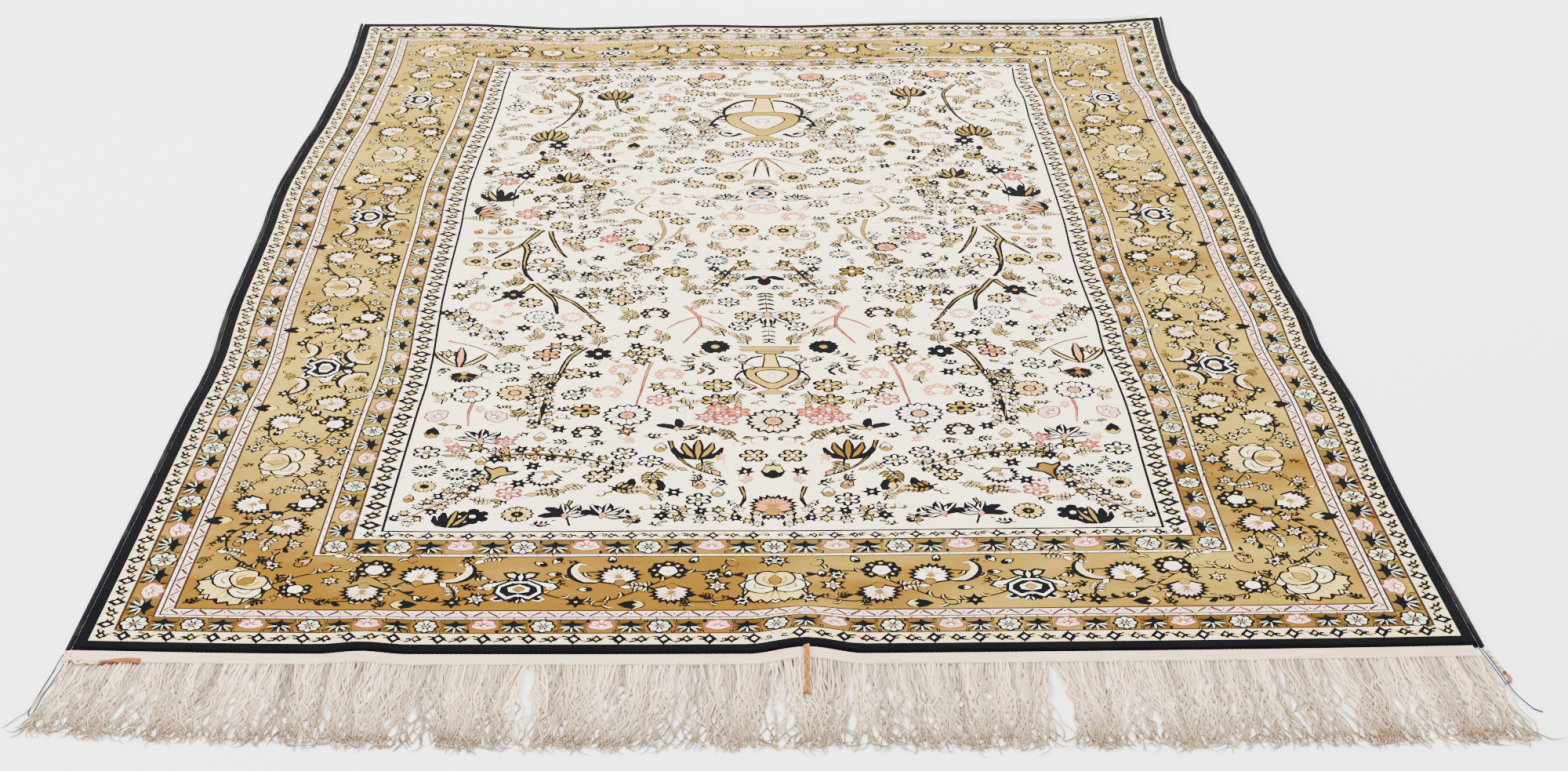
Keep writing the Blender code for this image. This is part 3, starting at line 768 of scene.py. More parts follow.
def rose(chart, x, y, size, turn=0):
    """The big pale cabbage rose, seen from the side, with its outer petals spread at its foot."""
    for a in (-118, -84, -50, 50, 84, 118, 152, -152, 180):
        spot = put([(0, 0.70)], x, y, size, turn + a)[0]
        chart.patch(put(polar(lambda b: 0.76 + 0.24 * abs(math.cos(3 * b)), 20), *spot, size * 0.40,
                        turn + a),
                    "cream", "navy", 2.2)
    skirt = [(0.98, -0.55), (0.80, -0.80), (0.62, -0.72), (0.48, -1.0), (0.28, -0.84), (0.12, -1.08),
             (-0.08, -0.86), (-0.28, -1.06),
             (-0.44, -0.82), (-0.66, -0.98), (-0.78, -0.72), (-1.0, -0.66), (-0.74, -0.16), (0, 0.0),
             (0.74, -0.16)]
    chart.patch(put(skirt, x, y, size, turn), "straw", "navy", 2.4)
    for a in (-30, -10, 10, 30):
        chart.blade(put([(0, 0.25), (0, 0.55), (0, 0.80)], x, y, size, turn + 180 + a), 1.8, "olive",
                    shape="taper")
    for side in (-1, 1):
        lobe = [(0.05 * side, -0.30), (0.52 * side, -0.42), (0.92 * side, -0.10), (0.84 * side, 0.34),
                (0.50 * side, 0.44), (0.16 * side, 0.16)]
        chart.patch(put(smooth_ring(lobe), x, y, size, turn), "cream", "navy", 2.4)
        chart.vine(put([(0.30 * side, -0.18), (0.62 * side, -0.10), (0.62 * side, 0.16),
                        (0.40 * side, 0.14)], x, y, size, turn), "olive", 1.7)
    crown = [(0, -0.06), (0.46, 0.10), (0.62, 0.46), (0.46, 0.82), (0.16, 0.92), (0, 0.80), (-0.16, 0.92),
             (-0.46, 0.82), (-0.62, 0.46), (-0.46, 0.10)]
    chart.patch(put(smooth_ring(crown), x, y, size, turn), "straw", "navy", 2.4)
    chart.patch(put([(0, 0.72), (0.22, 0.44), (0.14, 0.14), (0, 0.02), (-0.14, 0.14), (-0.22, 0.44)], x, y,
                    size, turn), "gold", "navy", 1.0)
    for side in (-1, 1):
        chart.vine(put([(0.12 * side, 0.12), (0.36 * side, 0.34), (0.30 * side, 0.62)], x, y, size, turn),
                   "olive", 1.8)
    chart.claim(x, y, size * 1.05)


def smooth_ring(points, per=3):
    """A closed outline rounded through its points."""
    out = []
    n = len(points)
    for i in range(n):
        a, b, c, d = points[i - 1], points[i], points[(i + 1) % n], points[(i + 2) % n]
        for k in range(per):
            t = k / per
            w = (-t + 2 * t * t - t ** 3, 2 - 5 * t * t + 3 * t ** 3, t + 4 * t * t - 3 * t ** 3,
                 t ** 3 - t * t)
            out.append(tuple(0.5 * sum(wi * p[j] for wi, p in zip(w, (a, b, c, d))) for j in (0, 1)))
    return out


# The grounds and lines from the outside in: ink, then how far in from a side, the near end and the far end
Ring = namedtuple("Ring", "ink side near far")
RINGS = (
    Ring("navy", 0.8, 0.8, 0.8), Ring("navy", 2.0, 2.0, 2.0), Ring("navy", 4.0, 4.0, 4.0),
    Ring("cream", 11.8, 14, 19), Ring("brown", 29.4, 31.4, 45.4), Ring("gold", 32, 33.5, 47.5),
    Ring("brown", 58, 55, 76), Ring("white", 60.2, 57, 77.6), Ring("brown", 63, 59, 78.8),
    Ring("blush", 65, 61, 80.8), Ring("brown", 73.4, 70.4, 89), Ring("gold", 75.7, 72.7, 91.2),
    Ring("brown", 181, 169.5, 173.5), Ring("white", 183, 171.5, 175), Ring("brown", 186.5, 174.5, 178),
    Ring("gold", 188.5, 176, 180), Ring("brown", 211.8, 200.8, 202.8), Ring("ivory", 214.5, 203.5, 205.5),
    Ring("navy", 238, 217.5, 225), Ring("ivory", 241, 220.5, 227))
GROUNDS = ("gold", "tan")

# A side's band is read from its own rings: (outer ring, inner ring) by their places in RINGS
GUARD_A, MINOR_OUT, BEADS_OUT, SLANTS, MAIN, BEADS_IN, MINOR_IN, GUARD_B = (
    (3, 4), (5, 6), (7, 8), (9, 10), (11, 12), (13, 14), (15, 16), (17, 18))


def edge(start, end, step=13.0):
    """Points from start to just before the end, about a step apart."""
    count = max(1, round(math.dist(start, end) / step))
    return [(start[0] + (end[0] - start[0]) * i / count, start[1] + (end[1] - start[1]) * i / count)
            for i in range(count)]


def corners(ring):
    """A ring's outer corners, from the far left one round by the right."""
    left, right, far, near = ring.side, 2 * HALF_WIDTH - ring.side, ring.far, RUG_LENGTH - ring.near
    return [(left, far), (right, far), (right, near), (left, near)]


def draw_bands():
    """Each ring as four mitred pieces that meet without lying over one another, and the field inside."""
    chart = Chart()
    for ring, inner in zip(RINGS, RINGS[1:]):
        outside, inside = corners(ring), corners(inner)
        for k in range(4):
            n = (k + 1) % 4
            across = edge(outside[n], inside[n])[1:]
            back = edge(inside[n], inside[k])
            chart.fill(edge(outside[k], outside[n]) + [outside[n]] + across + back + [inside[k]], ring.ink)
    field = corners(RINGS[-1])
    chart.fill([spot for k in range(4) for spot in edge(field[k], field[(k + 1) % 4])], RINGS[-1].ink)
    return chart


class Run:
    """A straight stretch of a band on the left half: s along it, t across it from its middle, inwards."""

    def __init__(self, band, where):
        outer, inner = RINGS[band[0]], RINGS[band[1]]
        self.where = where
        low, high = getattr(outer, where), getattr(inner, where)
        self.middle, self.half = (low + high) / 2, (high - low) / 2
        mid = {name: (getattr(outer, name) + getattr(inner, name)) / 2 for name in ("side", "near", "far")}
        self.first = mid["far"] if where == "side" else mid["side"]
        self.last = RUG_LENGTH - mid["near"] if where == "side" else HALF_WIDTH

    def at(self, s, t):
        if self.where == "side":
            return self.middle + t, s
        if self.where == "far":
            return s, self.middle + t
        return s, RUG_LENGTH - self.middle - t

    def inward(self):
        return {"side": 90, "far": 180, "near": 0}[self.where]

    def shape(self, points):
        return [self.at(s, t) for s, t in points]


def runs(band):
    return [Run(band, where) for where in ("side", "near", "far")]


def minor_border(chart, band):
    """Rosettes, dark spiky flowers and pink fans by turns, each on its own shade of gold."""
    for run in runs(band):
        length = run.last - run.first
        count = round(length / 30.4)
        count += (-count) % 4 if run.where == "side" else (2 - count) % 4
        pitch = length / count
        size = min(run.half * 1.0, pitch * 0.48)
        for k in range(count + (run.where == "side")):
            s = run.first + k * pitch if run.where == "side" else run.last - k * pitch
            u, v = run.at(s, 0)
            if k % 2:
                cell = [(s - pitch / 2, -run.half + 0.6), (s + pitch / 2, -run.half + 0.6),
                        (s + pitch / 2, run.half - 0.6), (s - pitch / 2, run.half - 0.6)]
                chart.fill(run.shape(cell), "tan")
            for t in (-0.5, 0.5):
                a, b = run.at(s + pitch / 2, t * run.half * 1.1)
                leaf(chart, a, b, 6.0, run.inward() + (180 if t < 0 else 0), "olive", "navy", 0.2, 0.4)
            if k % 4 == 0:
                rosette(chart, u, v, size * 1.02)
            elif k % 4 == 2:
                fan(chart, u, v, size * 1.10, run.inward())
            else:
                spiky(chart, u, v, size * 1.22, run.inward() + 180)


def vine_guard(chart, band, pitch, flip):
    """A running vine with curled leaves between dark diamonds."""
    for run in runs(band):
        count = max(2, round((run.last - run.first) / pitch))
        step = (run.last - run.first) / count
        high = run.half * 0.62
        for k in range(count):
            s = run.first + k * step
            for sign, start in ((1, 0.0), (-1, 0.5)):
                sign *= flip
                a = s + start * step
                curl = [(a + step * f, sign * high * t) for f, t in
                        ((0.06, -0.55), (0.16, 0.25), (0.27, 0.85), (0.39, 0.50), (0.36, -0.15),
                         (0.28, 0.05))]
                chart.vine(run.shape(curl), "navy", 3.2, step=6.0)
                dab = [(a + step * f, sign * high * t) for f, t in ((0.14, -0.2), (0.24, 0.45),
                                                                    (0.31, 0.40))]
                chart.blade(run.shape(dab), 3.6, "straw")
                chart.fill(put(polar(lambda b: 1, 6), *run.at(a + step * 0.42, -sign * high * 0.9), 1.5),
                           "coral")
            diamond(chart, *run.at(s + step / 2, 0), run.half * 0.92, run.inward())
            diamond(chart, *run.at(s, 0), run.half * 0.70, run.inward(), "straw")


def slants(chart, band, pitch=13.0):
    """Dark red strokes that lean one way and the other."""
    for run in runs(band):
        count = round((run.last - run.first) / pitch)
        step = (run.last - run.first) / count
        for k in range(count):
            s = run.first + (k + 0.5) * step
            lean = step * 0.34 * (1 if k % 2 else -1)
            chart.blade(run.shape([(s - lean, -run.half * 0.8), (s + lean, run.half * 0.8)]), 2.4, "brown",
                        shape="even")
            chart.fill(run.shape([(s + step / 2 - 1.3, 0), (s + step / 2, 1.5), (s + step / 2 + 1.3, 0),
                                  (s + step / 2, -1.5)]), "navy")


def beads(chart, band, pitch=14.0):
    """Small dark red dots along a pale line."""
    for run in runs(band):
        count = round((run.last - run.first) / pitch)
        step = (run.last - run.first) / count
        for k in range(count):
            s = run.first + (k + 0.5) * step
            chart.fill(run.shape([(s - 1.2, -0.7), (s + 1.2, -0.7), (s + 1.2, 0.7), (s - 1.2, 0.7)]),
                       "rose")


# Words that many motifs share
CORAL_INK, BLUSH_INK, NAVY_INK, STRAW_INK = ({"ink": name} for name in ("coral", "blush", "navy", "straw"))
NAVY_BUD = {"ink": "navy", "cup": "straw"}
CORAL_CLUSTER = {"ink": "coral", "dots": "white"}

# A motif on the chart; its own words come after its size and turn
Spot = namedtuple("Spot", "make x y size turn words", defaults=({},))


def spots(*rows):
    return [Spot(*row) for row in rows]


# The main border's flowers. Its roses and palmettes stand this far down the side
ROSES, PALMETTES, ROSE_TO_PALMETTE = (583.0, 1027.0, 1471.0), (361.0, 805.0, 1249.0), 222.0
BORDER_MIDDLE = 126.0
HALF_UNIT = spots(          # x across the border, y on from a rose; turns are for the way down the rug
    (carnation, 107, 90, 19, 235, {"ink": "ivory"}), (cluster, 159, 86, 20, 120),
    (carnation, 147, 134, 19, 130, BLUSH_INK), (bud, 86, 122, 19, 265, NAVY_BUD),
    (blossom, 91, 48, 8, 0), (blossom, 163, 46, 8, 0), (blossom, 127, 62, 7.5, 0),
    (blossom, 118, 124, 7, 0), (blossom, 92, 158, 7, 0, {"ink": "navy", "heart": "white"}),
    (blossom, 161, 168, 7.5, 0), (bud, 108, 168, 13, 20, CORAL_INK),
    (blossom, 172, 62, 6, 0, {"ink": "navy", "heart": "white"}), (sprig, 90, 190, 22, 200),
    (sprig, 166, 206, 22, 20), (bud, 135, 108, 12, 190, {"ink": "blush", "cup": "navy"}))
NEAR_MOTIFS = spots(
    (rose, 121, 1716, 31, 45), (cluster, 243, 1685, 19, 0), (carnation, 287, 1697, 19, 10),
    (carnation, 237, 1726, 18, 180, BLUSH_INK), (palmette, 378, 1717, 24, 180),
    (blossom, 320, 1744, 8, 0, {"ink": "navy", "heart": "straw"}),
    (blossom, 431, 1743, 8, 0, {"ink": "navy", "heart": "straw"}),
    (bud, 272, 1748, 17, 90, NAVY_BUD), (bud, 486, 1748, 17, 270, NAVY_BUD),
    (carnation, 467, 1697, 19, 350), (cluster, 512, 1687, 19, 0),
    (carnation, 516, 1727, 18, 180, BLUSH_INK),
    (rose, 610, 1716, 30, 0), (sprig, 190, 1742, 24, 80), (bud, 172, 1676, 14, 45, CORAL_INK),
    (cluster, 176, 1722, 16, 200), (blossom, 205, 1706, 7.5, 0), (sprig, 556, 1742, 22, 300))
FAR_MOTIFS = spots(
    (rose, 127, 142, 30, 135), (carnation, 248, 146, 18, 10, BLUSH_INK), (cluster, 252, 118, 18, 0),
    (carnation, 296, 132, 18, 180), (palmette, 390, 132, 21, 180), (carnation, 483, 132, 18, 180),
    (carnation, 529, 150, 17, 350, BLUSH_INK), (cluster, 530, 116, 18, 180), (rose, 610, 132, 28, 180),
    (cluster, 163, 251, 19, 120), (carnation, 112, 251, 18, 235), (carnation, 150, 296, 18, 130, BLUSH_INK),
    (bud, 88, 300, 18, 265, NAVY_BUD), (bud, 186, 120, 15, 45, CORAL_INK),
    (cluster, 190, 154, 15, 200), (sprig, 344, 160, 22, 280), (sprig, 440, 160, 22, 80),
    (blossom, 216, 106, 7, 0), (blossom, 330, 106, 7.5, 0), (blossom, 450, 106, 7.5, 0),
    (blossom, 92, 205, 8, 0), (blossom, 164, 205, 8, 0))


def plant(chart, rows, dy=0.0, way=1):
    """Motifs moved along the rug by dy, and turned end for end where way is -1."""
    for spot in rows:
        turn = spot.turn if way > 0 else 180 - spot.turn
        spot.make(chart, spot.x, dy + spot.y * way, spot.size, turn, **spot.words)


def crescent(chart, x, y, size, turn, flip=1):
    """The curled leaf beside a palmette: a pale blade round a dark serrated back."""
    curve = [(0.0, -1.0), (0.42 * flip, -0.62), (0.58 * flip, 0.0), (0.40 * flip, 0.62),
             (-0.05 * flip, 0.95), (-0.30 * flip, 0.70)]
    way = smooth(put(curve, x, y, size, turn), 5.0)
    chart.blade(way, size * 0.58, "navy")
    for k in range(1, len(way) - 2, 2):
        chart.fill(put(polar(lambda a: 1, 6), *way[k], 2.6), "navy")
    inner = smooth(put([(p[0] * 0.86 - 0.02 * flip, p[1] * 0.9) for p in curve], x, y, size, turn), 5.0)
    chart.blade(inner, size * 0.34, "cream")
    chart.blade(inner[1:-1], 1.4, "coral", shape="taper")
    chart.claim(x, y, size * 0.7)


def main_border(chart):
    """Roses and palmettes by turns along the wide border, with carnations and dark clusters between."""
    draw_vines(chart)
    for middle in ROSES:
        for way in (-1, 1):
            plant(chart, HALF_UNIT, middle, way)
            if middle == ROSES[-1] and way > 0:
                continue
            crescent(chart, 160, middle + way * (ROSE_TO_PALMETTE - 30), 22, 90 + 60 * way, way)
        rose(chart, BORDER_MIDDLE, middle, 31, 270)
    for y in PALMETTES:
        palmette(chart, BORDER_MIDDLE + 2, y, 25, 270)
        for way in (-1, 1):
            crescent(chart, 98, y + way * 44, 20, 90 - 90 * way, way)
    plant(chart, NEAR_MOTIFS)
    plant(chart, FAR_MOTIFS)
    for x in (318, 438):
        crescent(chart, x, 1690, 21, 30 if x < 378 else -30, 1 if x < 378 else -1)
    for x in (340, 440):
        crescent(chart, x, 120, 19, 150 if x < 390 else 210, 1 if x < 390 else -1)


def leafy_vine(chart, points, flip):
    """A dark stalk with a pale leaf on one side every 17 millimetres."""
    chart.vine(points, "navy", 2.2, step=9.0)
    way = smooth(points, 17.0)
    for spot, after in zip(way, way[1:]):
        heading = math.degrees(math.atan2(after[0] - spot[0], spot[1] - after[1]))
        leaf(chart, *spot, 10.0, heading + 50 * flip, "straw", "navy", 0.2, 0.42)


def draw_vines(chart):
    """Thin dark stalks that wind from flower to flower."""
    for middle in ROSES:
        for way in (-1, 1):
            for flip in (-1, 1):
                points = [(BORDER_MIDDLE + flip * a, middle + way * b) for a, b in
                          ((6, 20), (28, 52), (32, 84), (10, 108), (-14, 130), (-30, 158), (-20, 190),
                           (6, 214))]
                leafy_vine(chart, points, flip)
    for run, y in (("near", 1716.0), ("far", 134.0)):
        for flip in (-1, 1):
            points = [(150, y), (185, y + 22 * flip), (228, y + 26 * flip), (262, y), (300, y - 26 * flip),
                      (340, y - 20 * flip),
                      (378, y + 2), (416, y - 20 * flip), (456, y - 26 * flip), (494, y),
                      (530, y + 26 * flip), (572, y + 22 * flip), (604, y)]
            leafy_vine(chart, points, flip)


def sprinkle(chart, rng, left, far, right, near, tries, kinds, spare=0.95, holes=()):
    """Small motifs wherever there is still room, the bigger ones first."""
    for make, size, share, words in kinds:
        for _ in range(round(tries * share)):
            x, y = rng.uniform(left + size * 0.6, right), rng.uniform(far + size * 0.6, near - size * 0.6)
            turn = rng.choice((0, 45, 90, 135, 180, 225, 270, 315)) + rng.uniform(-18, 18)
            if any(a <= x <= c and b <= y <= d for a, b, c, d in holes) or not chart.is_free(x, y,
                                                                                             size * spare):
                continue
            before = len(chart.taken)
            if make in (sprig, twig):
                x, y = put([(0, -0.5)], x, y, size * 2, turn)[0]
                make(chart, x, y, size * 2, turn, **words)
            else:
                make(chart, x, y, size, turn, **words)
            if len(chart.taken) == before:
                chart.claim(x, y, size)


def draw_chart():
    """The left half of the design; the right half is its mirror image."""
    chart = draw_bands()
    vine_guard(chart, GUARD_A, 38.6, 1)
    minor_border(chart, MINOR_OUT)
    slants(chart, SLANTS)
    beads(chart, BEADS_OUT)
    beads(chart, BEADS_IN)
    minor_border(chart, MINOR_IN)
    vine_guard(chart, GUARD_B, 38.6, -1)
    chart.taken = []
    main_border(chart)
    ring = RINGS[MAIN[0]], RINGS[MAIN[1]]
    inner = (ring[1].side - 4, ring[1].far - 4, 2 * HALF_WIDTH, RUG_LENGTH - ring[1].near + 4)
    sprinkle(chart, random.Random(11), ring[0].side + 4, ring[0].far + 4, HALF_WIDTH,
             RUG_LENGTH - ring[0].near - 4, 1500,
             BORDER_FILL, 0.88, (inner,))
    chart.taken = []
    draw_field(chart)
    return chart


BORDER_FILL = (
    (blossom, 10.5, 0.2, {"ink": "white", "heart": "coral"}), (curl, 11.0, 0.3, {"inner": "cream"}),
    (twig, 12.0, 0.6, {"heart": "white", "inner": "cream"}), (bud, 9.5, 0.3,
                                                              {"ink": "white", "cup": "navy"}),
    (blossom, 8.4, 0.4, {"ink": "ivory", "heart": "navy"}), (twig, 8.6, 1.0,
                                                             {"pairs": 3, "heart": "blush"}),
    (curl, 7.5, 1.0, {"inner": "straw"}), (twig, 6.2, 0.8, {"pairs": 2}))


# Petals, heart and outline of the field's flowers
NAVY_RING = {"ink": "navy", "edge": "white", "heart": "straw"}
CORAL_RING = {"ink": "coral", "edge": "white", "heart": "white"}
GOLD_RAYS = {"ink": "straw", "heart": "navy"}
WHITE_RAYS = {"ink": "white", "heart": "coral"}
NAVY_PETALS = {"ink": "navy", "heart": "white", "edge": "navy"}
GOLD_PETALS = {"ink": "straw", "heart": "white"}
PINK_PETALS = {"ink": "blush", "heart": "coral", "edge": "rose"}
CORAL_PETALS = {"ink": "coral", "heart": "white", "edge": "rose"}
WHITE_PETALS = {"ink": "white", "heart": "gold"}

# Stalks of the field: ink, outline, width, and the points that each passes
Stalk = namedtuple("Stalk", "ink edge width points")
STALKS = (
    Stalk("gold", "navy", 7.5, ((340, 838), (327, 868), (318, 890), (306, 905), (289, 932))),
    Stalk("gold", "navy", 7.5, ((322, 884), (327, 905), (326, 945), (330, 977), (340, 1000))),
    Stalk("gold", "navy", 6.5, ((341, 1008), (333, 1026), (322, 1038), (297, 1061))),
    Stalk("gold", "navy", 7.0, ((342, 1006), (354, 1030), (368, 1060), (372, 1098))),
    Stalk("gold", "navy", 6.5, ((360, 1032), (376, 1050), (393, 1070), (414, 1113), (422, 1127))),
    Stalk("gold", "navy", 5.5, ((350, 842), (354, 866), (365, 905), (376, 930))),
    Stalk("gold", "navy", 6.0, ((407, 1188), (396, 1205), (388, 1222), (380, 1262), (372, 1300),
                                (368, 1382))),
    Stalk("gold", "olive", 4.5, ((483, 812), (489, 850), (484, 880), (462, 921))),
    Stalk("gold", "olive", 4.0, ((512, 836), (500, 868), (488, 880))),
    Stalk("gold", "navy", 4.5, ((578, 960), (566, 985), (556, 1010), (546, 1030))),
    Stalk("coral", "rose", 4.0, ((516, 1078), (530, 1104), (534, 1130), (528, 1150), (514, 1182))),
    Stalk("coral", "rose", 3.0, ((530, 1104), (548, 1120), (562, 1140))),
    Stalk("coral", "rose", 3.0, ((532, 1108), (510, 1124), (496, 1142))),
    Stalk("coral", "rose", 2.6, ((262, 866), (288, 868), (318, 860))),
    Stalk("coral", "rose", 3.0, ((295, 1326), (293, 1352), (296, 1384))),
    Stalk("coral", "rose", 3.4, ((480, 1230), (474, 1262), (470, 1300), (466, 1338))),
    Stalk("coral", "rose", 3.0, ((336, 1498), (314, 1528), (286, 1556), (256, 1588))),
    Stalk("gold", "navy", 4.0, ((326, 1452), (360, 1448), (410, 1456), (457, 1476))),
    Stalk("navy", "navy", 1.2, ((612, 900), (612, 960), (611, 1032), (611, 1180))),
    Stalk("olive", "navy", 2.6, ((320, 560), (322, 592), (316, 640), (300, 700), (300, 760))),
    Stalk("gold", "navy", 5.0, ((330, 300), (340, 318), (352, 344), (350, 390), (338, 440), (324, 470))),
    Stalk("gold", "navy", 4.0, ((401, 345), (404, 372), (412, 400), (436, 420))),
    Stalk("coral", "rose", 2.6, ((382, 534), (380, 560), (394, 600), (420, 632))),
    Stalk("gold", "navy", 3.4, ((606, 590), (592, 612), (580, 640))),
    Stalk("gold", "navy", 3.4, ((610, 588), (604, 620), (600, 660))),
    Stalk("coral", "rose", 2.8, ((607, 588), (578, 604), (556, 622))),
    Stalk("olive", "navy", 2.6, ((281, 742), (276, 700), (286, 668))),
    Stalk("gold", "olive", 3.6, ((470, 730), (452, 770), (470, 800))),
    Stalk("gold", "navy", 3.6, ((414, 1548), (410, 1572), (416, 1600))),
    Stalk("gold", "navy", 4.0, ((578, 1520), (582, 1548), (570, 1580))),
    Stalk("olive", "navy", 2.4, ((254, 1172), (280, 1184), (300, 1200), (314, 1222))),
    Stalk("gold", "navy", 4.4, ((505, 1420), (512, 1450), (530, 1480), (560, 1500))))

# Sprays of small flowers along a bending stalk
SPRAYS = (
    ((359, 556), (376, 590), (392, 622), (415, 650)), ((483, 476), (500, 506), (498, 536), (483, 566)),
    ((522, 445), (538, 480), (532, 520), (514, 552)), ((366, 980), (400, 990), (440, 984), (478, 962)),
    ((322, 1492), (300, 1532), (274, 1566), (254, 1590)), ((330, 1450), (372, 1446), (420, 1458),
                                                           (460, 1480)),
    ((366, 1262), (362, 1300), (366, 1340), (370, 1384)), ((572, 985), (556, 1012), (540, 1044)),
    ((255, 1092), (268, 1118), (286, 1146), (312, 1156)), ((400, 1036), (430, 1040), (462, 1030),
                                                           (490, 1036)),
    ((505, 1572), (540, 1580), (575, 1576), (600, 1590)), ((262, 1010), (276, 1026), (296, 1030)),
    ((398, 690), (400, 720), (392, 760), (396, 800)))

